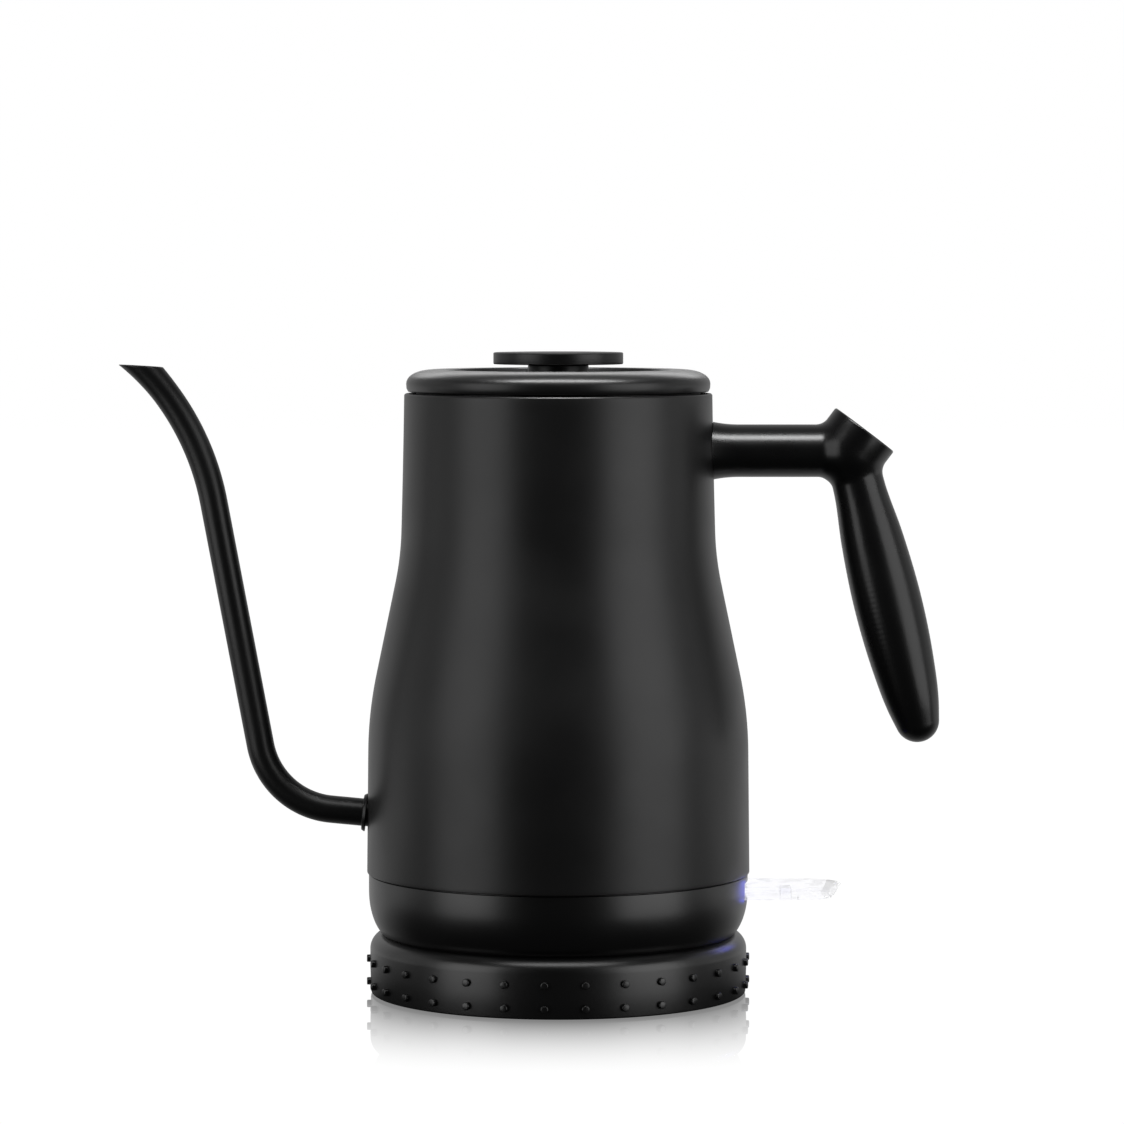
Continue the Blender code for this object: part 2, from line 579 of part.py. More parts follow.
def make_lever(carrier, looks):
    pivot_x, pivot_z = LEVER_PIVOT
    half = LEVER_THICKNESS / 2
    low, high = pivot_z - half, pivot_z + half
    tip_x = LEVER_TIP - LEVER_HALF_WIDTH
    width = LEVER_HALF_WIDTH
    under, above = (tip_x, 0.0, low), (tip_x, 0.0, high)
    lever = rod("switch_lever", carrier, looks["clear_plastic"], width, under, above, 32)
    plate = box("lever_plate", None, None, (pivot_x, -width, low), (tip_x, width, high))
    left, right = (pivot_x, -width, pivot_z), (pivot_x, width, pivot_z)
    hub = rod("lever_hub", None, None, 3.0, left, right, WIRE_ROUND)
    arm = box("lever_arm", None, None, (PUSH_ROD_X - 3.0, -3.0, 34.5), (pivot_x, 3.0, 37.5))
    join(lever, plate, hub, arm)
    left, right = (pivot_x, -20.0, pivot_z), (pivot_x, 20.0, pivot_z)
    cut(lever, rod("pin_bore", None, None, LEVER_BORE_R, left, right, TINY_ROUND))
    left, right = (pivot_x, -17.0, pivot_z), (pivot_x, 17.0, pivot_z)
    rod("lever_pin", carrier, looks["steel"], LEVER_BORE_R - GAP, left, right, TINY_ROUND)


def make_push_rod(carrier, looks):
    low, high = (PUSH_ROD_X, 0.0, 23.0), (PUSH_ROD_X, 0.0, 33.9)
    rod("push_rod", carrier, looks["inner_plastic"], PUSH_ROD_R, low, high, TINY_ROUND)


# Lid


def make_lid(carrier, looks):
    underside = DISH_FLOOR - 1.8
    profile = [
        (2.3, DISH_FLOOR), (36.6, DISH_FLOOR), (38.6, 212.6), (DISH_R, 218.0), (DISH_R + 0.7, LID_TOP),
        (43.6, LID_TOP), (47.9, 218.1), (50.9, 217.0), (52.5, 215.4), (LID_R, 213.4), (52.9, 211.8),
        (52.4, LID_BOTTOM), (PLUG_R, LID_BOTTOM), (PLUG_R, PLUG_BOTTOM), (PLUG_R - 1.8, PLUG_BOTTOM),
        (PLUG_R - 1.8, 214.8), (42.0, 214.8), (40.6, underside), (2.3, underside),
    ]
    turned("lid_cover", carrier, looks["lid_plastic"], profile, ROUND)
    liner_r = PLUG_R - 1.8 - 0.4
    liner_low = PLUG_BOTTOM + 0.4
    rod("lid_liner", carrier, looks["steel"], liner_r, (0, 0, liner_low), (0, 0, liner_low + 1.0), ROUND)
    seal = [(51.0, 205.0), (51.0, 203.0), (PLUG_R + GAP, 203.0), (PLUG_R + GAP, 205.0)]
    turned("lid_seal", carrier, looks["rubber"], seal, ROUND)
    stem_low, stem_high = DISH_FLOOR + GAP, KNOB_Z[0] - GAP
    stem = [
        (STEM_R, stem_high), (STEM_R, stem_low), (1.8, stem_low), (1.8, 217.3), (5.3, 217.3),
        (5.3, stem_high),
    ]
    turned("knob_stem", carrier, looks["lid_plastic"], stem, SMALL_ROUND)
    low, high = KNOB_Z
    disc = [
        (0.0, high), (KNOB_R - 0.5, high), (KNOB_R, high - 0.4), (KNOB_R, low + 0.4), (KNOB_R - 0.5, low),
        (5.0, low), (5.0, 217.6), (0.0, 217.6),
    ]
    turned("knob_disc", carrier, looks["lid_plastic"], disc, ROUND)
    screw = [(0.0, 216.8), (1.5, 216.8), (1.5, 209.4), (4.2, 209.4), (4.2, 207.4), (0.0, 207.4)]
    turned("lid_screw", carrier, looks["steel"], screw, TINY_ROUND)


for old in list(bpy.data.objects):
    bpy.data.objects.remove(old)
PARTS = collection("gooseneck_kettle")
CUTTERS = collection("cutters", hidden=True)
LOOKS = {
    "painted_metal": material("painted_metal", (0.012, 0.012, 0.013), 0.5, 0.3),
    "housing_plastic": material("housing_plastic", (0.010, 0.010, 0.011), 0.45),
    "base_plastic": material("base_plastic", (0.016, 0.016, 0.017), 0.5),
    "lid_plastic": material("lid_plastic", (0.018, 0.018, 0.019), 0.45),
    "gloss_plastic": material("gloss_plastic", (0.008, 0.008, 0.009), 0.25),
    "inner_plastic": material("inner_plastic", (0.55, 0.54, 0.50), 0.5),
    "clear_plastic": material("clear_plastic", (0.75, 0.78, 0.95), 0.1, 0.0, 0.9),
    "rubber": material("rubber", (0.03, 0.03, 0.03), 0.8),
    "steel": material("steel", (0.6, 0.6, 0.6), 0.3, 1.0),
    "aluminium": material("aluminium", (0.75, 0.75, 0.76), 0.35, 1.0),
    "brass": material("brass", (0.75, 0.55, 0.25), 0.3, 1.0),
    "led": material("led", (0.15, 0.20, 1.0), 0.2, 0.0, 0.0, 4.0),
}
base = body("base_axis")
slip_ring = body("slip_ring_axis", parent=base)
kettle = body("kettle_axis", parent=slip_ring)
lid = body("lid_axis", parent=kettle)
lever = body("lever_axis", *LEVER_PIVOT, parent=kettle)
push_rod = body("push_rod_axis", PUSH_ROD_X, parent=kettle)
make_base(base, LOOKS)
make_slip_ring(slip_ring, LOOKS)
make_vessel(kettle, LOOKS)
make_spout(kettle, LOOKS)
make_heater(kettle, LOOKS)
make_controls(kettle, LOOKS)
make_lower_housing(kettle, LOOKS)
make_underside(kettle, LOOKS)
make_handle(kettle, LOOKS)
make_lever(lever, LOOKS)
make_push_rod(push_rod, LOOKS)
make_lid(lid, LOOKS)
bpy.context.view_layer.update()
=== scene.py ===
"""The looks of an electric gooseneck kettle on its power base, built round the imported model.

Shapes are given in millimetres in the frame of the CAD model, and their meshes are made in metres.
Places and main sizes come from the CAD nodes' boxes.
"""

import json
import math

import bmesh
import bpy
import numpy as np
from mathutils import Matrix, Vector

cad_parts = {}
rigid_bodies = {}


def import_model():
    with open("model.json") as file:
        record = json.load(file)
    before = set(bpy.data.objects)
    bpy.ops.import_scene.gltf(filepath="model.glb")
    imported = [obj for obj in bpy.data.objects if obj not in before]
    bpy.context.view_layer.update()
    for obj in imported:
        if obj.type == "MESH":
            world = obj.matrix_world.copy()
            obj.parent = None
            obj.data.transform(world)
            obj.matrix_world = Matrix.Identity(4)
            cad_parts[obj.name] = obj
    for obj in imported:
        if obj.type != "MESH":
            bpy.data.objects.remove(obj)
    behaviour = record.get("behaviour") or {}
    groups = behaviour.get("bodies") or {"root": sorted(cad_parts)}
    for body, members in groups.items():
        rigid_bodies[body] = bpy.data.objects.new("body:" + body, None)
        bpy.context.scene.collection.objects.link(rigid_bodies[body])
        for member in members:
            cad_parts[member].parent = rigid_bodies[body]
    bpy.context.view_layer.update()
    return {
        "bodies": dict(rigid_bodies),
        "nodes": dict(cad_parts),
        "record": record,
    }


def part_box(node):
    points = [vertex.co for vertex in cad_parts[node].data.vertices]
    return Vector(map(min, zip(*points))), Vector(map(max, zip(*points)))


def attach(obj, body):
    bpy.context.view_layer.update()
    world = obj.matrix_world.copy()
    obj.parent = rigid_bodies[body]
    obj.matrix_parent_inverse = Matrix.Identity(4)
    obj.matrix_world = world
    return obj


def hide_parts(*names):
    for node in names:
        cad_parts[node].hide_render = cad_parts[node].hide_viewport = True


MM = 0.001
# Sides of turned pieces, from the widest to the smallest
ROUND = 192
SMALL_ROUND = 96
SCREW_ROUND = 48
NUB_ROUND = 24

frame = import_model()


def span(node):
    """The lowest and highest corner of a CAD node, in millimetres."""
    low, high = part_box(node)
    return low / MM, high / MM


# Meshes


def mesh_object(name, points, faces, place=None):
    """A smooth-shaded object from points in millimetres, moved by the matrix place, also in millimetres."""
    if place is not None:
        points = [place @ Vector(point) for point in points]
    data = bpy.data.meshes.new(name)
    data.from_pydata([tuple(Vector(point) * MM) for point in points], [], faces)
    data.validate()
    obj = bpy.data.objects.new(name, data)
    bpy.context.scene.collection.objects.link(obj)
    smooth(obj)
    return obj


def smooth(obj, angle=32.0):
    obj.data.shade_smooth()
    obj.data.set_sharp_from_angle(angle=math.radians(angle))


def ellipse_quarter(centre, half_width, half_height, start, end, steps, power=2.0):
    """Corners along an ellipse from start to end, in degrees. A power over 2 makes it fuller."""
    corners = []
    for i in range(steps + 1):
        angle = math.radians(start + (end - start) * i / steps)
        c, s = math.cos(angle), math.sin(angle)
        r = centre[0] + half_width * abs(c) ** (2 / power)
        z = centre[1] + math.copysign(half_height * abs(s) ** (2 / power), s)
        corners.append((r, z, 0.0))
    return corners


def rounded(corners, steps=5):
    """The points of an outline of (x, y, fillet) corners, each rounded with its fillet."""
    most = 0.48  # the share of an edge that one fillet may take up
    points = []
    for i, (x, y, fillet) in enumerate(corners):
        here = Vector((x, y))
        if not fillet:
            points.append(here)
            continue
        before = Vector(corners[i - 1][:2]) - here
        after = Vector(corners[(i + 1) % len(corners)][:2]) - here
        half = before.angle(after) / 2
        reach = min(fillet / math.tan(half), most * before.length, most * after.length)
        radius = reach * math.tan(half)
        middle = here + (before.normalized() + after.normalized()).normalized() * radius / math.sin(half)
        arm = here + before.normalized() * reach - middle
        turn = (math.pi - 2 * half) * (1.0 if before.cross(after) < 0.0 else -1.0)
        points += [middle + Matrix.Rotation(turn * k / steps, 2) @ arm for k in range(steps + 1)]
    return points


def spun(points, loop, sides):
    """Vertices and faces of an outline of (radius, height) spun about Z. It runs down its outer side."""
    vertices, rings, faces = [], [], []
    for r, z in points:
        first = len(vertices)
        if r < 1e-6:
            vertices.append((0.0, 0.0, z))
            rings.append([first] * sides)
            continue
        for j in range(sides):
            angle = math.tau * j / sides
            vertices.append((r * math.cos(angle), r * math.sin(angle), z))
        rings.append(list(range(first, first + sides)))
    for k in range(len(rings) if loop else len(rings) - 1):
        here, below = rings[k], rings[(k + 1) % len(rings)]
        for j in range(sides):
            following = (j + 1) % sides
            face = dict.fromkeys((here[j], below[j], below[following], here[following]))
            if len(face) > 2:
                faces.append(list(face))
    return vertices, faces


def lathe(name, corners, sides=ROUND, place=None):
    """A turned piece. Its outline is a closed loop unless it starts on the axis."""
    loop = corners[0][0] > 0.0
    vertices, faces = spun(rounded(corners), loop, sides)
    return mesh_object(name, vertices, faces, place)


def upright(x, y):
    return Matrix.Translation((x, y, 0.0))


def aimed(origin, direction):
    """A matrix that takes Z to direction and the origin to origin."""
    spin = Vector(direction).normalized().to_track_quat("Z", "Y").to_matrix().to_4x4()
    return Matrix.Translation(origin) @ spin


def bar_outline(radius, high, low, high_fillet=0.0, low_fillet=0.0):
    """A round bar's outline, for a lathe."""
    return [(0.0, high, 0.0), (radius, high, high_fillet), (radius, low, low_fillet), (0.0, low, 0.0)]


def tube_outline(outer, inner, high, low, fillets):
    """The fillets are those of the corners from the outer high one down and round."""
    corners = ((outer, high), (outer, low), (inner, low), (inner, high))
    return [(r, z, fillet) for (r, z), fillet in zip(corners, fillets)]


def drill(radius, high, low, place=None, sides=SMALL_ROUND):
    """A plain round bar that cuts a hole."""
    return lathe("hole", bar_outline(radius, high, low), sides, place)


def oblong(low_x, high_x, half_y, inner_fillet=0.0, outer_fillet=0.0, y=0.0):
    """The corners of a rectangle round the line at y, for a prism. The inner ones are those at low_x."""
    return [
        (low_x, y - half_y, inner_fillet), (high_x, y - half_y, outer_fillet),
        (high_x, y + half_y, outer_fillet), (low_x, y + half_y, inner_fillet),
    ]


def prism(name, corners, low, high, fillet_steps=8):
    """A flat outline of (x, y, fillet) corners, pulled up from z = low to z = high."""
    outline = rounded(corners, fillet_steps)
    count = len(outline)
    vertices = [(x, y, z) for z in (low, high) for x, y in outline]
    faces = [[i, (i + 1) % count, count + (i + 1) % count, count + i] for i in range(count)]
    faces += [list(range(count))[::-1], list(range(count, 2 * count))]
    obj = mesh_object(name, vertices, faces)
    tidy_normals(obj)
    return obj


def tidy_normals(obj):
    """Turns every face outwards."""
    bm = bmesh.new()
    bm.from_mesh(obj.data)
    bmesh.ops.recalc_face_normals(bm, faces=bm.faces)
    bm.to_mesh(obj.data)
    bm.free()


def combine(obj, operation, *others):
    """Applies exact Booleans to obj and removes the others."""
    for other in others:
        step = obj.modifiers.new(other.name, "BOOLEAN")
        step.operation = operation
        step.object = other
        step.solver = "EXACT"
    graph = bpy.context.evaluated_depsgraph_get()
    made = bpy.data.meshes.new_from_object(obj.evaluated_get(graph))
    obj.modifiers.clear()
    obj.data = made
    for other in others:
        bpy.data.objects.remove(other)
    smooth(obj)
    return obj


def merged(name, objects):
    """One object that holds the meshes of several."""
    bm = bmesh.new()
    for obj in objects:
        bm.from_mesh(obj.data)
        bpy.data.objects.remove(obj)
    data = bpy.data.meshes.new(name)
    bm.to_mesh(data)
    bm.free()
    whole = bpy.data.objects.new(name, data)
    bpy.context.scene.collection.objects.link(whole)
    smooth(whole)
    return whole


def directions(count, first):
    """Unit directions all round the axis, from the angle first on."""
    angles = [first + math.tau / count * i for i in range(count)]
    return [(math.cos(angle), math.sin(angle)) for angle in angles]


def finish_piece(obj, carrier, slot, *nodes, look=None):
    """Gives a piece the material of its slot and its body, and hides the CAD nodes that it stands for."""
    obj.data.materials.clear()
    obj.data.materials.append(LOOKS[look or slot])
    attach(obj, carrier)
    if nodes:
        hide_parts(*nodes)


# Materials


def shader_of(name):
    look = bpy.data.materials.new(name)
    look.use_nodes = True
    return look, look.node_tree, look.node_tree.nodes["Principled BSDF"]


def noise(tree, coordinates, scale, detail=3.0):
    node = tree.nodes.new("ShaderNodeTexNoise")
    node.inputs["Scale"].default_value = scale
    node.inputs["Detail"].default_value = detail
    tree.links.new(coordinates, node.inputs["Vector"])
    return node.outputs["Fac"]


def mapped(tree, value, low, high, from_low=0.3, from_high=0.7):
    """The value taken from one range to another. A noise hardly leaves 0.3 to 0.7."""
    node = tree.nodes.new("ShaderNodeMapRange")
    node.inputs["From Min"].default_value = from_low
    node.inputs["From Max"].default_value = from_high
    node.inputs["To Min"].default_value = low
    node.inputs["To Max"].default_value = high
    tree.links.new(value, node.inputs["Value"])
    return node.outputs["Result"]


def bumped(tree, height, strength, distance, under=None):
    node = tree.nodes.new("ShaderNodeBump")
    node.inputs["Strength"].default_value = strength
    node.inputs["Distance"].default_value = distance
    tree.links.new(height, node.inputs["Height"])
    if under:
        tree.links.new(under, node.inputs["Normal"])
    return node.outputs["Normal"]


def computed(tree, operation, first, second):
    """An operation on two values, of which the second is a socket or a constant."""
    node = tree.nodes.new("ShaderNodeMath")
    node.operation = operation
    tree.links.new(first, node.inputs[0])
    if isinstance(second, float):
        node.inputs[1].default_value = second
    else:
        tree.links.new(second, node.inputs[1])
    return node.outputs["Value"]


def length_of(tree, vector):
    node = tree.nodes.new("ShaderNodeVectorMath")
    node.operation = "LENGTH"
    tree.links.new(vector, node.inputs[0])
    return node.outputs["Value"]


def parts_of(tree, vector):
    """The sockets of a vector's X, Y and Z."""
    node = tree.nodes.new("ShaderNodeSeparateXYZ")
    tree.links.new(vector, node.inputs["Vector"])
    return node.outputs


def object_place(tree):
    return tree.nodes.new("ShaderNodeTexCoord").outputs["Object"]


def blended(tree, factor, first, second):
    node = tree.nodes.new("ShaderNodeMix")
    node.data_type = "RGBA"
    tree.links.new(factor, node.inputs["Factor"])
    node.inputs["A"].default_value = (*first, 1.0)
    node.inputs["B"].default_value = (*second, 1.0)
    return node.outputs["Result"]


def grained(name, dark, light, rough, grain_mm, depth_mm, metallic=0.0, specular=0.5):
    """A surface with a fine moulded or sprayed grain, slow blotches of gloss and two close colours."""
    look, tree, shader = shader_of(name)
    where = object_place(tree)
    fine = noise(tree, where, 1.0 / (grain_mm * MM), 4.0)
    slow = noise(tree, where, 1.0 / (25.0 * MM), 2.0)
    tree.links.new(blended(tree, fine, dark, light), shader.inputs["Base Color"])
    tree.links.new(mapped(tree, slow, *rough), shader.inputs["Roughness"])
    peel = noise(tree, where, 1.0 / (4.0 * grain_mm * MM), 2.0)
    under = bumped(tree, peel, 0.25, depth_mm * MM)
    tree.links.new(bumped(tree, fine, 0.35, depth_mm * MM, under), shader.inputs["Normal"])
    shader.inputs["Metallic"].default_value = metallic
    shader.inputs["Specular IOR Level"].default_value = specular
    return look


def turned_metal(name, colour, rough, line_mm=0.25):
    """Metal with fine lines round its axis."""
    look, tree, shader = shader_of(name)
    where = object_place(tree)
    flat = tree.nodes.new("ShaderNodeVectorMath")
    flat.operation = "MULTIPLY"
    flat.inputs[1].default_value = (1.0, 1.0, 0.0)
    tree.links.new(where, flat.inputs[0])
    profile = tree.nodes.new("ShaderNodeCombineXYZ")
    tree.links.new(length_of(tree, flat.outputs["Vector"]), profile.inputs["X"])
    tree.links.new(parts_of(tree, where)["Z"], profile.inputs["Z"])
    lines = noise(tree, profile.outputs["Vector"], 1.0 / (line_mm * MM))
    dim = tuple(0.82 * c for c in colour)
    tree.links.new(blended(tree, lines, dim, colour), shader.inputs["Base Color"])
    tree.links.new(mapped(tree, lines, rough - 0.06, rough + 0.08), shader.inputs["Roughness"])
    tree.links.new(bumped(tree, lines, 0.2, 0.02 * MM), shader.inputs["Normal"])
    shader.inputs["Metallic"].default_value = 1.0
    return look


def ringed_plastic(name, dark, light, rough, ring_mm=0.55):
    """Moulded plastic with faint level lines, as on the turned side of the knob."""
    look = grained(name, dark, light, rough, 0.35, 0.02)
    tree = look.node_tree
    normal = tree.nodes["Principled BSDF"].inputs["Normal"]
    grain = normal.links[0].from_socket
    wave = tree.nodes.new("ShaderNodeTexWave")
    wave.bands_direction = "Z"
    wave.inputs["Scale"].default_value = 0.05 / (ring_mm * MM) * math.tau  # 20 radians to a unit at scale 1
    tree.links.new(object_place(tree), wave.inputs["Vector"])
    tree.links.new(bumped(tree, wave.outputs["Fac"], 0.3, 0.04 * MM, grain), normal)
    return look


def clear_plastic(name, root_x, tip_x):
    """Clear acrylic with a painted blue tint and a painted blue glow, strongest at its root and fading
    towards its tip, in place of the light of the lamps.
    """
    look, tree, shader = shader_of(name)
    where = object_place(tree)
    along = parts_of(tree, where)["X"]
    # Painted light: the colour is bluer towards the root, a painted tint of the lamps' light
    painted_tint_to_tip = mapped(tree, along, 0.0, 1.0, root_x * MM, tip_x * MM)
    tree.links.new(blended(tree, painted_tint_to_tip, (0.90, 0.90, 1.0), (0.94, 0.94, 1.0)), shader.inputs["Base Color"])
    ripple = noise(tree, where, 1.0 / (6.0 * MM), 1.0)
    tree.links.new(mapped(tree, ripple, 0.0, 0.015, 0.5), shader.inputs["Roughness"])
    tree.links.new(bumped(tree, ripple, 0.1, 0.05 * MM), shader.inputs["Normal"])
    # Painted glow: emission strongest at the root and fading to nothing at the tip, though the lever is no
    # lamp
    painted_glow_at_root = mapped(tree, along, 1.0, 0.0, root_x * MM, tip_x * MM)
    glow = computed(tree, "MULTIPLY", computed(tree, "POWER", painted_glow_at_root, 3.0), 0.05)
    tree.links.new(glow, shader.inputs["Emission Strength"])
    shader.inputs["Emission Color"].default_value = (0.16, 0.2, 1.0, 1.0)
    shader.inputs["Transmission Weight"].default_value = 1.0
    shader.inputs["IOR"].default_value = 1.49
    shader.inputs["Alpha"].default_value = 0.4
    return look


def lamp_plastic(name, colour, strength):
    """The coloured lens of a lamp that is lit."""
    look, tree, shader = shader_of(name)
    cloud = noise(tree, object_place(tree), 1.0 / (1.5 * MM), 1.0)
    pale = tuple(min(1.0, 1.3 * c) for c in colour)
    tree.links.new(blended(tree, cloud, colour, pale), shader.inputs["Base Color"])
    tree.links.new(mapped(tree, cloud, 0.15, 0.3), shader.inputs["Roughness"])
    shader.inputs["Emission Color"].default_value = (*colour, 1.0)
    shader.inputs["Emission Strength"].default_value = strength
    return look


# The two colours between which each grain varies
SOFT_BLACK = (0.0022, 0.0022, 0.0023), (0.0036, 0.0036, 0.0038)
DEEP_BLACK = (0.0008, 0.0008, 0.0009), (0.0014, 0.0014, 0.0015)
BASE_BLACK = (0.0012, 0.0012, 0.0013), (0.0020, 0.0020, 0.0021)
KNOB_BLACK = (0.0030, 0.0030, 0.0031), (0.0050, 0.0050, 0.0052)
RUBBER_BLACK = (0.012, 0.012, 0.012), (0.020, 0.020, 0.020)
IVORY = (0.45, 0.44, 0.40), (0.55, 0.54, 0.50)
CAST_GREY = (0.62, 0.62, 0.63), (0.74, 0.74, 0.75)
LEVER_ROOT = 64.0
LEVER_TIP = span("switch_lever")[1].x
LOOKS = {
    "black_paint": grained("powder_coat", *SOFT_BLACK, (0.35, 0.40), 0.45, 0.02),
    "housing_plastic": grained("housing_grain", *DEEP_BLACK, (0.29, 0.33), 0.3, 0.02, specular=0.65),
    "base_plastic": grained("base_grain", *BASE_BLACK, (0.29, 0.33), 0.35, 0.025, specular=0.76),
    "lid_plastic": grained("lid_grain", *SOFT_BLACK, (0.32, 0.37), 0.35, 0.02),
    "handle_plastic": grained("handle_gloss", *DEEP_BLACK, (0.26, 0.30), 0.8, 0.008),
    "knob_plastic": ringed_plastic("knob_grain", *KNOB_BLACK, (0.34, 0.39)),
    "inner_plastic": grained("pale_moulding", *IVORY, (0.45, 0.55), 0.4, 0.03),
    "clear_plastic": clear_plastic("clear_acrylic", LEVER_ROOT, LEVER_TIP),
    "rubber": grained("soft_rubber", *RUBBER_BLACK, (0.65, 0.75), 0.25, 0.04),
    "steel": turned_metal("spun_steel", (0.62, 0.61, 0.60), 0.28),
    "aluminium": grained("cast_aluminium", *CAST_GREY, (0.38, 0.48), 0.5, 0.04, metallic=1.0),
    "brass": turned_metal("turned_brass", (0.78, 0.57, 0.27), 0.25),
    "led_blue": lamp_plastic("blue_lamp", (0.12, 0.16, 1.0), 14.0),
}


def dress_kept_nodes():
    """The CAD nodes that stay get the material of their slot."""
    for entry in frame["record"]["subparts"]:
        node = frame["nodes"][entry["node"]]
        node.data.materials.clear()
        node.data.materials.append(LOOKS[entry["material_slot"]])


# Power base

NUB_COUNT = 30  # in each row
NUB_ROWS = (4.0, 12.0)
NUB_LENGTH = 1.2
NUB_R = 1.3
FIRST_NUB = math.radians(-94.0)
SHANK_HOLE_R = 1.7
HEAD_HEIGHT = 0.7  # of a screw


def make_base():
    low, high = span("base_housing")
    radius, top, bottom = high.x - NUB_LENGTH, high.z, low.z
    recess, floor = 60.0, 13.5  # radius and height of the hollow that the kettle stands in
    wall = 2.0
    inner = radius - wall
    boss = span("base_connector")[1].x + 0.3
    middle = (60.9, 15.6)  # of the curve of the shoulder
    shoulder = ellipse_quarter(middle, radius - middle[0], top - middle[1], 86.0, 0.0, 16)
    shell = [
        (recess, 19.6, 0.0), (60.15, 20.5, 0.4), *shoulder, (radius, 9.0, 0.0),
        (radius - 0.3, bottom - 0.6, 0.6), (inner - 0.4, bottom - 0.6, 0.3), (inner, 7.0, 0.0),
        (inner, top - 2.4, 2.6), (recess + wall, top - 2.4, 0.3), (recess + wall, floor - wall, 0.4),
        (boss, floor - wall, 0.2), (boss, floor, 0.3), (recess, floor, 0.8),
    ]
    finish_piece(lathe("base_shell", shell), "base", "base_plastic", "base_housing")
    # Flat-ended nubs in two rows, each sunk a little into the wall
    sunk = -0.5
    nub = [(0.0, NUB_LENGTH, 0.0), (NUB_R, NUB_LENGTH, 0.3), (NUB_R + 0.05, sunk, 0.0), (0.0, sunk, 0.0)]
    points, faces = spun(rounded(nub, 3), False, NUB_ROUND)
    nubs = []
    for x, y in directions(NUB_COUNT, FIRST_NUB):
        for z in NUB_ROWS:
            nubs.append(mesh_object("nub", points, faces, aimed((radius * x, radius * y, z), (x, y, 0.0))))
    finish_piece(merged("base_nubs", nubs), "base", "base_plastic")


def make_base_underside():
    low, high = span("base_bottom_plate")
    radius, groove = high.x, low.z + 0.5
    plate = [
        (0.0, high.z, 0.0), (radius, high.z, 0.2), (radius, low.z, 0.4), (radius - 4.0, low.z, 0.1),
        (radius - 4.2, groove, 0.1), (radius - 5.2, groove, 0.1), (radius - 5.4, low.z, 0.1),
        (0.0, low.z, 0.0),
    ]
    disc = lathe("base_plate", plate)
    cutters = []
    for i in range(1, 5):
        low, high = span(f"rubber_foot_{i}")
        place = upright(*((low + high) / 2).xy)
        cutters.append(lathe("pocket", bar_outline(5.3, 1.5, -1.0, 0.2), SMALL_ROUND, place))
        r, top = (high.x - low.x) / 2, high.z
        pad = [
            (0.0, top, 0.0), (r, top, 0.2), (r, 0.0, 0.35), (r - 1.2, 0.0, 0.1), (r - 1.5, 0.25, 0.1),
            (0.0, 0.25, 0.0),
        ]
        finish_piece(lathe(f"foot_pad_{i}", pad, SMALL_ROUND, place), "base", "rubber", f"rubber_foot_{i}")
    cutters += make_screws("base_screw", "base_bolt", "base", screw_hole(3.1, 4.0, 1.6, -1.0), 2.8, 1.4)
    combine(disc, "DIFFERENCE", *cutters)
    finish_piece(disc, "base", "base_plastic", "base_bottom_plate")


def screw(name, x, y, low, high, head_r, shank_r):
    """A pan-head screw that stands head down, with a cross recess."""
    neck = low + HEAD_HEIGHT
    outline = [
        (0.0, high, 0.0), (shank_r, high, 0.3), (shank_r, neck, 0.0), (head_r, neck, 0.1),
        (head_r, low, 0.4), (0.0, low, 0.0),
    ]
    body = lathe(name, outline, SCREW_ROUND, upright(x, y))
    arm, width, depth = 0.6 * head_r, 0.16 * head_r, 0.6 * HEAD_HEIGHT
    cross = [
        prism("recess", oblong(x - half_x, x + half_x, half_y, y=y), low - 1.0, low + depth)
        for half_x, half_y in ((arm, width), (width, arm))
    ]
    return combine(body, "DIFFERENCE", *cross)


def screw_hole(pocket_r, high, seat, low):
    """The outline of a screw's hole, which is wider below the seat of its head."""
    return [
        (0.0, high, 0.0), (SHANK_HOLE_R, high, 0.0), (SHANK_HOLE_R, seat, 0.0), (pocket_r, seat, 0.0),
        (pocket_r, low, 0.0), (0.0, low, 0.0),
    ]


def make_screws(node, name, carrier, hole, head_r, shank_r):
    """Makes the three screws of a cover, and returns the cutters of their holes."""
    cutters = []
    for i in range(1, 4):
        low, high = span(f"{node}_{i}")
        x, y = ((low + high) / 2).xy
        cutters.append(lathe("hole", hole, SCREW_ROUND, upright(x, y)))
        bolt = screw(f"{name}_{i}", x, y, low.z, high.z, head_r, shank_r)
        finish_piece(bolt, carrier, "steel", f"{node}_{i}")
    return cutters


def make_coupler():
    low, high = span("base_connector")
    bore, groove_in, groove_out, groove_floor = 4.0, 12.5, 15.5, 14.0
    boss = [
        (high.x, high.z, 0.8), (high.x, low.z, 0.2), (bore, low.z, 0.2), (bore, high.z, 0.5),
        (groove_in, high.z, 0.4), (groove_in, groove_floor, 0.2), (groove_out, groove_floor, 0.2),
        (groove_out, high.z, 0.4),
    ]
    piece = lathe("coupler_boss", boss)
    combine(piece, "DIFFERENCE", prism("earth_slot", oblong(17.6, 25.0, 3.3, 0.3), 9.7, 22.3))
    finish_piece(piece, "base", "base_plastic", "base_connector")
    low, high = span("coupler_slip_ring")
    ring = tube_outline(high.x, groove_in + 0.3, high.z, low.z, (0.3, 0.2, 0.2, 0.3))
    finish_piece(lathe("slip_ring_track", ring), "slip_ring", "brass", "coupler_slip_ring")
    low, high = span("cord_gland")
    outer, inner, length = 3.6, 2.4, 10.0
    gland = tube_outline(outer, inner, length, 0.0, (0.5, 0.3, 0.3, 0.4))
    place = aimed((0.0, low.y, (low.z + high.z) / 2), (0.0, 1.0, 0.0))
    piece = lathe("cord_inlet", gland, SMALL_ROUND, place)
    finish_piece(piece, "base", "rubber", "cord_gland")


# Kettle body

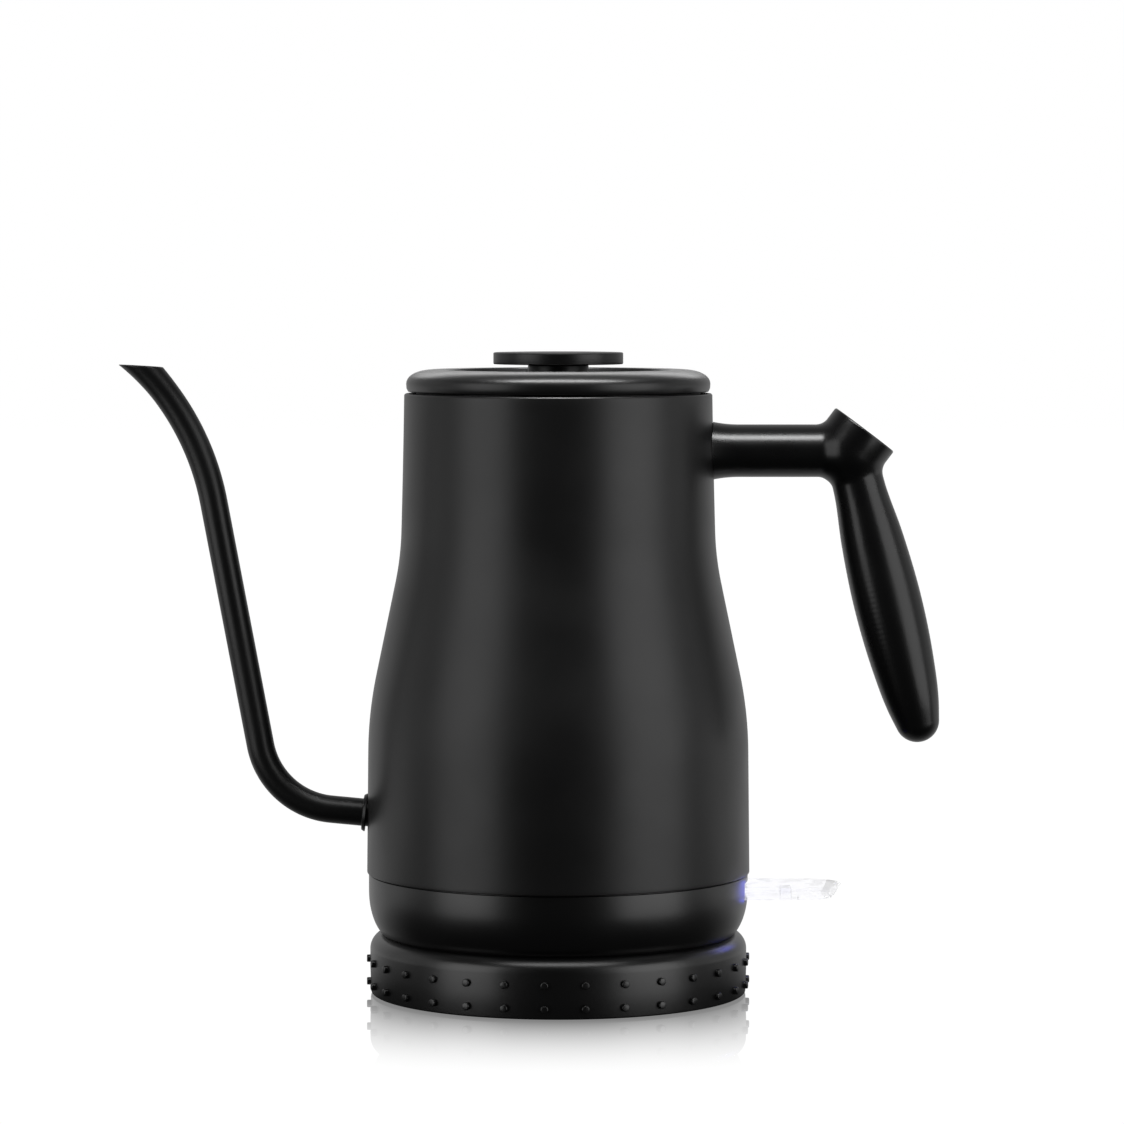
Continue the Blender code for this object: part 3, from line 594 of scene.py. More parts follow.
VESSEL_LOW, VESSEL_HIGH = span("vessel")
VESSEL_WALL = 0.8
MOUTH_R = 51.3
STEAM_HOLE_R = 4.3
# How fast the vessel narrows with height, as (height, mm of radius lost per mm)
VESSEL_SLOPES = (
    (42.5, 0.010), (85.0, 0.010), (112.0, 0.208), (144.0, 0.208), (162.0, 0.028), (208.4, 0.016),
)


def vessel_radius(height):
    """The slopes summed from the vessel's bottom up to this height."""
    radius = VESSEL_HIGH.x
    for (low, slope), (high, next_slope) in zip(VESSEL_SLOPES, VESSEL_SLOPES[1:]):
        if height <= low:
            break
        reach = min(height, high) - low
        slope_there = slope + (next_slope - slope) * reach / (high - low)
        radius -= reach * (slope + slope_there) / 2
    return radius


def make_vessel():
    bottom, top = VESSEL_LOW.z, VESSEL_HIGH.z
    wall_top = top - 3.0
    heights = np.linspace(wall_top, bottom + 1.5, 72)
    outer = [(vessel_radius(z), z, 0.0) for z in heights]
    inner = [(vessel_radius(z) - VESSEL_WALL, z, 0.0) for z in heights[::-1]]
    edge = vessel_radius(wall_top)
    lip = [(MOUTH_R, top, 0.3), (edge - 0.05, top, 0.8)]
    foot = [(VESSEL_HIGH.x, bottom, 0.3), (VESSEL_HIGH.x - VESSEL_WALL, bottom, 0.2)]
    under_lip = [(edge - VESSEL_WALL - 0.1, top - VESSEL_WALL, 0.8), (MOUTH_R, top - VESSEL_WALL, 0.3)]
    shell = lathe("vessel_shell", lip + outer + foot + inner + under_lip)
    bolt_low, bolt_high = span("handle_core")
    bolt = (edge, 0.0, (bolt_low.z + bolt_high.z) / 2)
    past = 8.0  # how far the cutters reach past the wall
    spout_hole = drill(5.1, past, -past, aimed(*spout_root()))
    bolt_hole = drill(4.3, past, -past, aimed(bolt, (1.0, 0.0, 0.0)))
    combine(shell, "DIFFERENCE", spout_hole, bolt_hole)
    finish_piece(shell, "kettle", "black_paint", "vessel")


def make_lower_housing():
    low, high = span("lower_housing")
    radius, bottom = high.x, low.z
    skirt = 57.9  # radius of the foot, which stands in the base's hollow
    tongue = 65.7  # radius of the rim that goes up inside the vessel
    wall = 2.0
    inner = tongue - wall
    seam = VESSEL_LOW.z - 0.3
    curve = ellipse_quarter((skirt, 36.0), radius - skirt, 16.6, 0.0, -88.0, 20)
    outline = [
        (tongue, high.z, 0.2), (tongue, seam, 0.0), (radius, seam, 0.4), *curve, (skirt, 19.3, 0.0),
        (skirt, bottom, 0.4), (skirt - wall, bottom, 0.4), (skirt - wall, 21.6, 0.5), (60.6, 23.8, 0.5),
        (62.6, 26.4, 0.5), (inner, 30.0, 0.5), (inner, high.z, 0.2),
    ]
    housing = lathe("housing_shell", outline)
    # Two lugs hold the lever's pin, one on each side of the slot that the lever comes out of
    lug_y, lug_half = 16.2, 1.5
    lugs = [prism("lug", oblong(56.5, 62.9, lug_half, 0.4, y=y), 33.0, 39.0) for y in (-lug_y, lug_y)]
    combine(housing, "UNION", *lugs)
    slot_half = 14.0
    combine(housing, "DIFFERENCE", prism("slot", oblong(60.0, 72.0, slot_half, 0.8), 33.3, 39.8))
    finish_piece(housing, "kettle", "housing_plastic", "lower_housing")


def make_kettle_underside():
    low, high = span("bottom_cover")
    opening, groove = 25.5, low.z + 0.5
    cover = [
        (high.x, high.z, 0.2), (high.x, low.z, 0.4), (46.0, low.z, 0.1), (45.7, groove, 0.1),
        (44.7, groove, 0.1), (44.4, low.z, 0.1), (opening, low.z, 0.4), (opening, high.z, 0.2),
    ]
    disc = lathe("underside_cover", cover)
    hole = screw_hole(2.9, 20.0, 15.9, 12.0)
    combine(disc, "DIFFERENCE", *make_screws("bottom_screw", "underside_bolt", "kettle", hole, 2.5, 1.3))
    finish_piece(disc, "kettle", "housing_plastic", "bottom_cover")
    low, high = span("kettle_connector")
    outer, inner, ceiling = 25.2, 22.5, 24.5
    socket = [
        (0.0, high.z, 0.0), (outer, high.z, 1.0), (outer, 19.5, 0.0), (high.x, 19.5, 0.3),
        (high.x, 17.3, 0.3), (outer, 17.3, 0.0), (outer, low.z, 0.6), (inner, low.z, 0.6),
        (inner, ceiling, 0.4), (0.0, ceiling, 0.0),
    ]
    finish_piece(lathe("coupler_socket", socket), "kettle", "inner_plastic", "kettle_connector")
    low, high = span("connector_pin")
    pin = bar_outline(high.x, high.z, low.z, 0.1, 1.4)
    finish_piece(lathe("coupler_pin", pin, SMALL_ROUND), "kettle", "brass", "connector_pin")
    low, high = span("connector_blade_ring")
    inner = 13.3
    blade = tube_outline(high.x, inner, high.z, low.z, (0.1, 0.5, 0.5, 0.1))
    finish_piece(lathe("coupler_blade", blade), "kettle", "brass", "connector_blade_ring")


def make_inside():
    low, high = span("heater_plate")
    radius, sheet = high.x, 0.9
    plate = [
        (0.0, high.z, 0.0), (radius, high.z, 0.9), (radius, low.z, 0.1), (radius - sheet, low.z, 0.1),
        (radius - sheet, high.z - 1.0, 0.4), (0.0, high.z - 1.0, 0.0),
    ]
    disc = lathe("water_plate", plate)
    low, high = span("steam_tube")
    place = upright(*((low + high) / 2).xy)
    combine(disc, "DIFFERENCE", drill(STEAM_HOLE_R, 60.0, 40.0, place))
    finish_piece(disc, "kettle", "steel", "heater_plate")
    outer, wall = (high.x - low.x) / 2, 0.5
    tube = tube_outline(outer, outer - wall, high.z, low.z, (0.2, 0.2, 0.2, 0.2))
    finish_piece(lathe("steam_pipe", tube, SMALL_ROUND, place), "kettle", "steel", "steam_tube")
    low, high = span("steam_tube_seal")
    flange = 6.4
    grommet = tube_outline(flange, STEAM_HOLE_R, high.z, low.z, (0.7, 0.2, 0.2, 0.3))
    finish_piece(lathe("steam_grommet", grommet, SMALL_ROUND, place), "kettle", "rubber", "steam_tube_seal")


# Spout: a straight root, the lower bend, the long straight, and the crook out to the flared mouth

SPOUT_START = Vector((-65.2, 0.0, 62.85))
SPOUT_ROOT_RISE = math.radians(5.4)
SPOUT_LEAN = math.radians(10.7)
SPOUT_END_LEAN = math.radians(48.6)
# Each stretch is (length if straight, radius if bent, heading at its end)
SPOUT_STRETCHES = (
    (14.6, 0.0, math.pi - SPOUT_ROOT_RISE),
    (0.0, 27.8, math.pi / 2 + SPOUT_LEAN),
    (87.1, 0.0, math.pi / 2 + SPOUT_LEAN),
    (0.0, 92.1, math.pi / 2 + SPOUT_END_LEAN),
)
SPOUT_R = 4.82
SPOUT_WALL = 0.7
SPOUT_FLARE = 0.6
SPOUT_FLARE_LENGTH = 20.0
SPOUT_MOUTH = Vector((-146.1, 0.0, 219.8))
SPOUT_MOUTH_TILT = math.radians(3.4)
SPOUT_SLANT = 26.0  # over this length the rings turn from square to the tube to level with the mouth
SPOUT_RINGS = 130
SPOUT_SLANTED_RINGS = 26
# The edge of the mouth, as (depth under the outer skin, depth below the plane of the mouth)
SPOUT_LIP = ((0.0, 0.20), (0.06, 0.06), (0.20, 0.0), (0.50, 0.0), (0.64, 0.06), (SPOUT_WALL, 0.20))
COLLAR_X = -67.35  # of the middle of the collar's seat on the vessel


def spout_root():
    return SPOUT_START, Vector((-math.cos(SPOUT_ROOT_RISE), 0.0, math.sin(SPOUT_ROOT_RISE)))


def spout_path(step=0.5):
    """Distances, places and headings along the middle of the spout, as rows of (s, x, z, heading)."""
    x, z = SPOUT_START.x, SPOUT_START.z
    heading = SPOUT_STRETCHES[0][2]
    rows = [(0.0, x, z, heading)]
    for length, radius, end in SPOUT_STRETCHES:
        total = length or radius * abs(end - heading)
        count = max(2, round(total / step))
        turn = (end - heading) / count
        for _ in range(count):
            heading += turn / 2
            x += total / count * math.cos(heading)
            z += total / count * math.sin(heading)
            heading += turn / 2
            rows.append((rows[-1][0] + total / count, x, z, heading))
    return np.array(rows)


def make_spout():
    path = spout_path()
    whole = path[-1, 0]
    up = Vector((math.sin(SPOUT_MOUTH_TILT), 0.0, math.cos(SPOUT_MOUTH_TILT)))
    sides = SMALL_ROUND
    angles = [math.tau * j / sides for j in range(sides)]

    def skin(distance, angle, depth):
        """A point of the tube's surface, depth under its outer skin."""
        x, z, heading = (np.interp(distance, path[:, 0], path[:, n]) for n in (1, 2, 3))
        flare = max(0.0, 1.0 - (whole - distance) / SPOUT_FLARE_LENGTH)
        radius = SPOUT_R + SPOUT_FLARE * flare**1.5 - depth
        out = radius * math.cos(angle)
        return Vector((x - out * math.sin(heading), radius * math.sin(angle), z + out * math.cos(heading)))

    def reach(angle, depth, below):
        """The distance at which this line of the skin is so far below the mouth's plane, by halving."""
        low, high = whole - 40.0, whole
        for _ in range(24):
            middle = (low + high) / 2
            if (skin(middle, angle, depth) - SPOUT_MOUTH).dot(up) < -below:
                low = middle
            else:
                high = middle
        return low

    def slanted_rings(depth, below, shares):
        """Rings between the last square one and the edge of the mouth."""
        ends = [reach(angle, depth, below) for angle in angles]
        return [[skin(square + t * (e - square), a, depth) for a, e in zip(angles, ends)] for t in shares]

    square = whole - SPOUT_SLANT
    level = np.linspace(0.0, square, SPOUT_RINGS)
    shares = np.linspace(0.0, 1.0, SPOUT_SLANTED_RINGS)[1:]
    rings = [[skin(d, angle, 0.0) for angle in angles] for d in level]
    rings += slanted_rings(*SPOUT_LIP[0], shares)
    for depth, below in SPOUT_LIP[1:]:
        rings.append([skin(reach(angle, depth, below), angle, depth) for angle in angles])
    rings += slanted_rings(*SPOUT_LIP[-1], shares[-2::-1])
    rings += [[skin(d, angle, SPOUT_WALL) for angle in angles] for d in level[::-1]]
    faces = []
    for k in range(len(rings)):
        here, following = k * sides, (k + 1) % len(rings) * sides
        for j in range(sides):
            other = (j + 1) % sides
            faces.append([here + j, here + other, following + other, following + j])
    spout = mesh_object("spout_pipe", [point for ring in rings for point in ring], faces)
    tidy_normals(spout)
    finish_piece(spout, "kettle", "black_paint", "spout_tube")
    root, out = spout_root()
    inside = SPOUT_R + 0.15
    collar = [(inside, 1.35, 0.15), (6.1, 1.25, 0.5), (6.8, 0.0, 0.2), (inside, 0.0, 0.1)]
    place = aimed(root + out * (COLLAR_X - root.x) / out.x, out)
    finish_piece(lathe("spout_collar", collar, SMALL_ROUND, place), "kettle", "black_paint", "spout_flange")


# Handle

ARM_Z = 190.1
VESSEL_R_AT_ARM = vessel_radius(ARM_Z)
ARM_R = 9.2
ARM_FLARE = 0.9
ARM_FLARE_LENGTH = 9.0
ARM_END = 97.0
STUB_FACE = Vector((107.2, 0.0, 197.5))
STUB_LEAN = math.radians(52.9)
STUB_OUT = Vector((math.cos(STUB_LEAN), 0.0, math.sin(STUB_LEAN)))
STUB_R = 12.7
STUB_DEPTH = 8.5  # from its face to the middle of the ball that it ends in
STUB_CUT = 2.0  # how far below its face the moulded surface stops, inside the turned crown
GRIP_TOP = Vector((102.6, 0.0, 188.0))
GRIP_SLOPE = -0.251
# Radius of the grip at each height of its middle line, ending in the ball of its tip
GRIP_STATIONS = (
    (188.0, 9.1), (176.0, 9.15), (158.4, 10.95), (137.4, 11.9), (116.3, 11.0), (102.3, 9.27), (95.6, 7.75),
)
GRIP_FILLET = 4.0
STUB_FILLET = 2.2
CELL = 0.6  # of the grid from which the handle's surface is made


def grip_balls(per_stretch=12):
    """Places (x, z) and radii of the balls whose envelope is the grip, with a smooth curve of radii."""
    heights = [z for z, _ in GRIP_STATIONS]
    radii = [r for _, r in GRIP_STATIONS]
    slopes = np.gradient(radii, heights)
    balls = []
    for i in range(len(heights) - 1):
        run = heights[i + 1] - heights[i]
        for t in np.arange(per_stretch) / per_stretch:
            rise = radii[i + 1] - radii[i]
            a, b = slopes[i] * run, slopes[i + 1] * run
            radius = radii[i] + a * t + (3 * rise - 2 * a - b) * t**2 + (a + b - 2 * rise) * t**3
            balls.append((heights[i] + run * t, radius))
    balls.append((heights[-1], radii[-1]))
    return [(GRIP_TOP.x + (z - GRIP_TOP.z) * GRIP_SLOPE, z, radius) for z, radius in balls]


def blend_union(a, b, width):
    """The lesser of two distances, with the corner between them filled."""
    h = np.clip(0.5 + 0.5 * (b - a) / width, 0.0, 1.0)
    return b + (a - b) * h - width * h * (1.0 - h)


def handle_distance(p, balls):
    """Signed distance in mm from points p to the handle's surface."""
    x, y, z = p[..., 0], p[..., 1], p[..., 2]
    flare = np.clip((VESSEL_R_AT_ARM + ARM_FLARE_LENGTH - x) / ARM_FLARE_LENGTH, 0.0, 1.3)
    arm = np.hypot(y, z - ARM_Z) - ARM_R - ARM_FLARE * flare**2
    arm = np.maximum(arm, x - ARM_END)
    along = (x - STUB_FACE.x) * STUB_OUT.x + (z - STUB_FACE.z) * STUB_OUT.z
    across = (z - STUB_FACE.z) * STUB_OUT.x - (x - STUB_FACE.x) * STUB_OUT.z
    past_ball = np.minimum(along + STUB_DEPTH, 0.0)
    stub = np.sqrt(y**2 + across**2 + past_ball**2) - STUB_R
    stub = np.maximum(stub, along + STUB_CUT)
    far = 1e3
    grip = np.full(x.shape, far)
    for centre_x, centre_z, radius in balls:
        grip = np.minimum(grip, np.sqrt((x - centre_x) ** 2 + y**2 + (z - centre_z) ** 2) - radius)
    return blend_union(blend_union(arm, grip, GRIP_FILLET), stub, STUB_FILLET)


def surface_net(values, origin, cell):
    """Vertices and quads of the zero surface of a grid of signed distances.

    Each cell that the surface crosses has one vertex, at the mean of the crossings of its edges, and each
    crossed edge of the grid has a quad that joins the four cells round it.
    """
    signs = values < 0.0
    shape = np.array(values.shape) - 1
    total = np.zeros((*shape, 3))
    count = np.zeros(shape)
    corners = [(i, j, k) for i in (0, 1) for j in (0, 1) for k in (0, 1)]

    def at(grid, corner):
        return grid[tuple(slice(c, c + n) for c, n in zip(corner, shape))]

    for start in corners:
        for axis in range(3):
            if start[axis]:
                continue
            end = tuple(c + (n == axis) for n, c in enumerate(start))
            crossed = at(signs, start) != at(signs, end)
            a, b = at(values, start), at(values, end)
            t = np.where(crossed, a / np.where(crossed, a - b, 1.0), 0.0)
            place = np.array(start, float) + t[..., None] * np.eye(3)[axis]
            total += place * crossed[..., None]
            count += crossed
    used = count > 0
    index = np.full(shape, -1)
    index[used] = np.arange(used.sum())
    vertices = origin + cell * (np.argwhere(used) + total[used] / count[used][:, None])
    faces = []
    for axis in range(3):
        u, v = (axis + 1) % 3, (axis + 2) % 3
        first = signs[tuple(slice(0, -1) if n == axis else slice(None) for n in range(3))]
        second = signs[tuple(slice(1, None) if n == axis else slice(None) for n in range(3))]
        edges = np.argwhere(first != second)
        edges = edges[(edges[:, u] > 0) & (edges[:, v] > 0)]
        quad = []
        for du, dv in ((1, 1), (0, 1), (0, 0), (1, 0)):
            cell_at = edges.copy()
            cell_at[:, u] -= du
            cell_at[:, v] -= dv
            quad.append(index[tuple(cell_at.T)])
        quad = np.stack(quad, axis=1)
        flipped = ~first[tuple(edges.T)]
        quad[flipped] = quad[flipped][:, ::-1]
        faces.append(quad)
    return vertices, np.concatenate(faces)


def make_handle():
    balls = grip_balls()
    low, high = span("handle_body")
    margin = 4.0
    start, end = np.array(low) - margin, np.array(high) + margin
    start[1], end[1] = -STUB_R - margin, STUB_R + margin
    axes = [np.arange(a, b, CELL) for a, b in zip(start, end)]
    grid = np.stack(np.meshgrid(*axes, indexing="ij"), axis=-1)
    vertices, faces = surface_net(handle_distance(grid, balls), start, CELL)
    nudge, longest = 0.02, 0.4
    for _ in range(2):  # settles the points on the exact surface
        slopes = [
            handle_distance(vertices + step, balls) - handle_distance(vertices - step, balls)
            for step in nudge * np.eye(3)
        ]
        gradient = np.stack(slopes, axis=-1) / (2 * nudge)
        size = np.maximum((gradient**2).sum(axis=-1), 0.25)
        move = np.clip(handle_distance(vertices, balls) / size, -longest, longest)
        vertices -= move[:, None] * gradient
    handle = mesh_object("handle_moulding", vertices.tolist(), faces.tolist())
    tidy_normals(handle)
    # The stub's end is turned, so that its rim is crisp, with a pocket for the cap
    edge, pocket, pocket_floor, crown_low = STUB_R + 0.02, 11.3, -1.5, -6.0
    crown = [
        (0.0, pocket_floor, 0.0), (pocket, pocket_floor, 0.1), (pocket, 0.0, 0.15), (edge, 0.0, 0.66),
        (edge, crown_low, 0.0), (0.0, crown_low, 0.0),
    ]
    face = aimed(STUB_FACE, STUB_OUT)
    combine(handle, "UNION", lathe("crown", crown, ROUND, face))
    combine(handle, "DIFFERENCE", drill(VESSEL_R_AT_ARM + 0.05, 230.0, 150.0, sides=ROUND))
    smooth(handle, 50.0)
    finish_piece(handle, "kettle", "handle_plastic", "handle_body", "handle_lock_screw")
    rim, rim_top, back = pocket - 0.15, -0.2, -1.4
    cap = [
        (0.0, -0.75, 0.0), (9.6, -0.55, 1.0), (10.4, rim_top, 0.4), (rim, rim_top, 0.25), (rim, back, 0.1),
        (0.0, back, 0.0),
    ]
    finish_piece(lathe("stub_cap", cap, ROUND, face), "kettle", "handle_plastic", "handle_end_cap")


# Lever


def make_lever():
    low, high = span("switch_lever")
    half_width, tip = high.y, high.x
    pivot_x, pivot_z = 60.0, 36.0
    half = 2.1  # of its thickness
    lean_from, lean = 80.0, 2.9  # the tip leans back towards its underside
    outline = oblong(57.5, tip, half_width, 0.5, half_width - 0.05)
    lever = prism("clear_lever", outline, pivot_z - half, pivot_z + half, 28)
    for vertex in lever.data.vertices:
        if vertex.co.z < pivot_z * MM:
            vertex.co.x -= max(0.0, vertex.co.x - lean_from * MM) / (tip - lean_from) * lean
    axle = aimed((pivot_x, 0.0, pivot_z), (0.0, 1.0, 0.0))
    hub_r, bore_r, arm_end = 3.0, 1.5, 45.0
    hub = bar_outline(hub_r, half_width, -half_width, 0.4, 0.4)
    arm = prism("arm", oblong(arm_end, pivot_x, 3.0, 1.0), low.z + 1.5, high.z - 1.5)
    combine(lever, "UNION", lathe("hub", hub, SMALL_ROUND, axle), arm)
    # It is solid, with a square socket in its underside and a shallow dish under the tip
    under = pivot_z - half
    cutters = (
        prism("socket", oblong(77.6, 81.6, 3.8, 0.4, 0.4), under - 1.0, pivot_z + 1.0),
        prism("dish", oblong(83.5, 95.0, half_width - 4.0, 1.0, 7.0), under - 1.0, under + 0.8),
        drill(bore_r, 20.0, -20.0, axle, SCREW_ROUND),
    )
    combine(lever, "DIFFERENCE", *cutters)
    soften = lever.modifiers.new("edges", "BEVEL")
    soften.width = 0.35 * MM
    soften.segments = 3
    soften.limit_method = "ANGLE"
    soften.angle_limit = math.radians(40.0)
    finish_piece(lever, "lever", "clear_plastic", "switch_lever")


# Lid


def make_lid():
    low, high = span("lid_cover")
    radius, top, bottom = high.x, high.z, low.z
    seat = 210.8  # height of the underside of the rim, which rests on the vessel
    plug = 49.7  # radius of what goes into the vessel's mouth
    wall = 1.8
    screw_bore = 2.3
    dish_floor = 211.5
    under_dish, under_rim = dish_floor - wall, 214.8
    middle = (43.6, 213.4)  # of the curve of the rim
    rim = ellipse_quarter(middle, radius - middle[0], top - middle[1], 88.0, 0.0, 26, 2.2)
    cover = [
        (screw_bore, dish_floor, 0.2), (37.6, dish_floor, 1.4), (39.6, top, 0.7), *rim,
        (radius - 0.1, 212.0, 0.0), (52.5, seat, 0.4), (plug, seat, 0.3), (plug, bottom, 0.5),
        (plug - wall, bottom, 0.4), (plug - wall, under_rim, 0.4), (42.0, under_rim, 0.4),
        (40.6, under_dish, 0.6), (screw_bore, under_dish, 0.2),
    ]
    finish_piece(lathe("lid_shell", cover), "lid", "lid_plastic", "lid_cover")
    low, high = span("knob_disc")
    neck, under = 5.0, 220.4
    disc = [
        (0.0, high.z, 0.0), (high.x, high.z, 0.45), (high.x, under, 0.45), (neck, under, 0.3),
        (neck, low.z, 0.3), (0.0, low.z, 0.0),
    ]
    finish_piece(lathe("knob_cap", disc), "lid", "lid_plastic", "knob_disc", look="knob_plastic")
    low, high = span("knob_stem")
    bore, socket, socket_floor = 1.8, neck + 0.3, 217.3
    stem = [
        (high.x, high.z, 0.3), (high.x, low.z, 0.3), (bore, low.z, 0.1), (bore, socket_floor, 0.1),
        (socket, socket_floor, 0.1), (socket, high.z, 0.2),
    ]
    finish_piece(lathe("knob_post", stem, SMALL_ROUND), "lid", "lid_plastic", "knob_stem")
    low, high = span("lid_liner")
    step = low.z + 0.35
    liner = [
        (0.0, high.z, 0.0), (high.x, high.z, 0.3), (high.x, low.z, 0.4), (40.0, low.z, 0.6),
        (38.5, step, 0.6), (0.0, step, 0.0),
    ]
    finish_piece(lathe("lid_plate", liner), "lid", "steel", "lid_liner")
    low, high = span("lid_seal")
    middle, flank, inner = (low.z + high.z) / 2, high.x - 0.9, 50.0
    seal = [
        (high.x, middle, 0.5), (flank, low.z, 0.2), (inner, low.z, 0.1), (inner, high.z, 0.1),
        (flank, high.z, 0.2),
    ]
    finish_piece(lathe("lid_gasket", seal), "lid", "rubber", "lid_seal")


# Stage, light and camera


def add_lamp(name, kind, energy, place):
    data = bpy.data.lights.new(name, kind)
    data.energy = energy
    lamp = bpy.data.objects.new(name, data)
    bpy.context.scene.collection.objects.link(lamp)
    lamp.location = place
    lamp.visible_camera = False
    return lamp


def area_light(name, energy, place, target, width, height):
    lamp = add_lamp(name, "AREA", energy, place)
    lamp.data.shape = "RECTANGLE"
    lamp.data.size = width
    lamp.data.size_y = height
    lamp.rotation_euler = (Vector(target) - Vector(place)).to_track_quat("-Z", "Y").to_euler()
    return lamp


def light_only(lamp, *names):
    """The lamp lights the pieces of these names and nothing else."""
    lit = bpy.data.collections.new(f"lit_by_{lamp.name}")
    for name in names:
        lit.objects.link(bpy.data.objects[name])
    lamp.light_linking.receiver_collection = lit


def mixed(tree, factor, first, second):
    """A mix of two shaders, which is the first at 0 and the second at 1."""
    node = tree.nodes.new("ShaderNodeMixShader")
    tree.links.new(factor, node.inputs["Fac"])
    tree.links.new(first, node.inputs[1])
    tree.links.new(second, node.inputs[2])
    return node.outputs["Shader"]


def seen_directly(tree):
    """1 for what is seen straight, through the lever or in the mirror, and 0 for what lights the pieces."""
    paths = tree.nodes.new("ShaderNodeLightPath").outputs
    seen = computed(tree, "MAXIMUM", paths["Is Camera Ray"], paths["Is Transmission Ray"])
    return computed(tree, "MAXIMUM", seen, paths["Is Singular Ray"])


def make_world():
    """White all round to the eye. The light that it gives the pieces is grey behind and dark in front."""
    world = bpy.data.worlds.new("studio")
    bpy.context.scene.world = world
    world.use_nodes = True
    tree = world.node_tree
    tree.nodes.clear()
    towards = tree.nodes.new("ShaderNodeTexCoord").outputs["Generated"]
    level = mapped(tree, parts_of(tree, towards)["Y"], 0.01, 0.5, -0.2, 0.9)
    level.node.interpolation_type = "SMOOTHSTEP"
    seen = tree.nodes.new("ShaderNodeBackground")
    lit = tree.nodes.new("ShaderNodeBackground")
    tree.links.new(level, lit.inputs["Strength"])
    for node in (seen, lit):
        node.inputs["Color"].default_value = (1.0, 1.0, 1.0, 1.0)
    choice = mixed(tree, seen_directly(tree), lit.outputs["Background"], seen.outputs["Background"])
    out = tree.nodes.new("ShaderNodeOutputWorld")
    tree.links.new(choice, out.inputs["Surface"])


def make_floor():
    """A white table that mirrors what stands on it, fading away from the base, and is clear from below.

    The light that it gives the pieces is dim in front of the base and brighter behind it.
    """
    bpy.ops.mesh.primitive_plane_add(size=12.0, location=(0.0, 0.0, 0.0))
    floor = bpy.context.object
    floor.name = "table_top"
    look = bpy.data.materials.new("white_acrylic")
    look.use_nodes = True
    tree = look.node_tree
    tree.nodes.clear()
    where = tree.nodes.new("ShaderNodeNewGeometry").outputs
    direct = seen_directly(tree)
    base_edge, mirror_end = 0.066, 0.180  # distances from the axis, in metres
    near = mapped(tree, length_of(tree, where["Position"]), 1.0, 0.0, base_edge, mirror_end)
    shine = computed(tree, "MULTIPLY", computed(tree, "POWER", near, 1.9), 0.78)
    given = mapped(tree, parts_of(tree, where["Position"])["Y"], 0.03, 0.55, -0.02, 0.10)
    glow = tree.nodes.new("ShaderNodeMapRange")  # the light that it gives, or 1.02 if it is seen directly
    glow.inputs["To Max"].default_value = 1.02
    tree.links.new(given, glow.inputs["To Min"])
    tree.links.new(direct, glow.inputs["Value"])
    white = tree.nodes.new("ShaderNodeEmission")
    tree.links.new(glow.outputs["Result"], white.inputs["Strength"])
    mirror = tree.nodes.new("ShaderNodeBsdfGlossy")
    mirror.inputs["Roughness"].default_value = 0.0
    mirror.inputs["Color"].default_value = (1.02, 1.02, 1.02, 1.0)
    clear = tree.nodes.new("ShaderNodeBsdfTransparent")
    gloss = computed(tree, "MULTIPLY", direct, shine)
    top = mixed(tree, gloss, white.outputs["Emission"], mirror.outputs["BSDF"])
    sides = mixed(tree, where["Backfacing"], top, clear.outputs["BSDF"])
    out = tree.nodes.new("ShaderNodeOutputMaterial")
    tree.links.new(sides, out.inputs["Surface"])
    floor.data.materials.append(look)


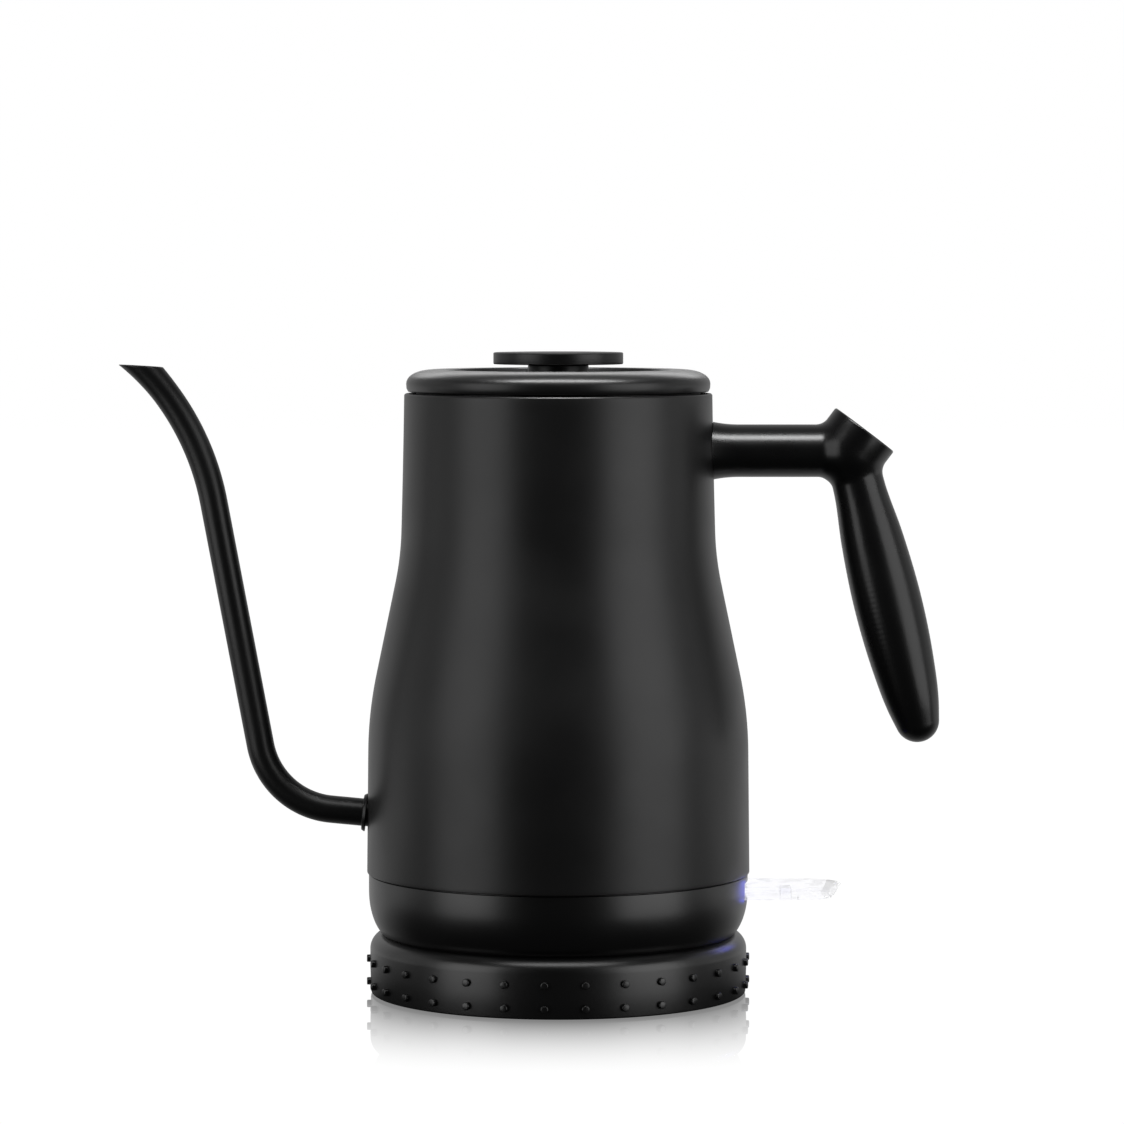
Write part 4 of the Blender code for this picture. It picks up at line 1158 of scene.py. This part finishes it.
def make_lights():
    """Tall soft boxes at both sides, a dimmer one beside each, and one above. They spare the table.

    Four more light only the handle, the lid or the vessel, for the highlights on their upper edges.
    """
    aim, high_aim = (0.0, 0.0, 0.15), (0.02, 0.0, 0.19)
    soft_boxes = (
        area_light("key_right", 5.7, (1.00, -0.66, 0.30), aim, 0.95, 1.1),
        area_light("key_left", 4.5, (-0.99, -0.68, 0.30), aim, 0.84, 1.1),
        area_light("side_right", 0.7, (1.19, 0.10, 0.35), aim, 0.85, 1.0),
        area_light("side_left", 0.7, (-1.19, 0.10, 0.35), aim, 0.85, 1.0),
        area_light("fill_top", 5.5, (0.03, -0.595, 1.31), high_aim, 1.2, 0.5),
    )
    spared = bpy.data.collections.new("not_lit_by_the_boxes")
    spared.objects.link(bpy.data.objects["table_top"])
    spared.collection_objects[0].light_linking.link_state = "EXCLUDE"
    for box in soft_boxes:
        box.light_linking.receiver_collection = spared
        box.light_linking.blocker_collection = spared
    handle_top = area_light("handle_top", 20.0, (0.03, -0.58, 1.28), high_aim, 1.25, 0.36)
    light_only(handle_top, "handle_moulding", "stub_cap")
    lid_top = area_light("lid_top", 24.0, (0.03, -0.34, 1.30), high_aim, 1.25, 0.26)
    light_only(lid_top, "lid_shell")
    lid_rim = area_light("lid_rim", 3.2, (0.0, 1.0, 0.79), (0.0, 0.0, 0.21), 1.2, 0.35)
    light_only(lid_rim, "lid_shell")
    lip_top = area_light("lip_top", 9.0, (0.01, -0.17, 1.0), (0.0, -0.05, 0.21), 0.3, 0.25)
    light_only(lip_top, "vessel_shell")


def make_lever_glow():
    """The blue light that spills from the lever's root onto the kettle and from its plate onto the base."""
    for name, energy, radius, place, receivers in (
        ("glow_at_root", 0.0022, 0.0045, (0.0715, -0.0045, 0.0355), ("housing_shell", "vessel_shell")),
        ("glow_on_base", 0.007, 0.008, (0.0800, -0.0040, 0.0360), ("base_shell", "base_nubs")),
    ):
        lamp = add_lamp(name, "POINT", energy, place)
        lamp.data.color = (0.08, 0.10, 1.0)
        lamp.data.shadow_soft_size = radius
        lamp.parent = frame["bodies"]["kettle"]
        lamp.visible_transmission = False
        light_only(lamp, *receivers)


def make_camera():
    data = bpy.data.cameras.new("camera")
    data.sensor_width = 36.0
    data.lens = 146.6
    data.shift_y = -0.0794
    data.clip_end = 50.0
    camera = bpy.data.objects.new("camera", data)
    bpy.context.scene.collection.objects.link(camera)
    camera.location = (0.0013, -1.6, 0.25)
    camera.rotation_euler = (math.radians(90.0 - 2.42), 0.0, 0.0)  # it looks down by 2.42 degrees
    bpy.context.scene.camera = camera


dress_kept_nodes()
make_base()
make_base_underside()
make_coupler()
make_vessel()
make_lower_housing()
make_kettle_underside()
make_inside()
make_spout()
make_handle()
make_lever()
make_lid()
make_camera()
make_world()
make_floor()
make_lights()
make_lever_glow()
bpy.context.scene.view_settings.view_transform = "Standard"
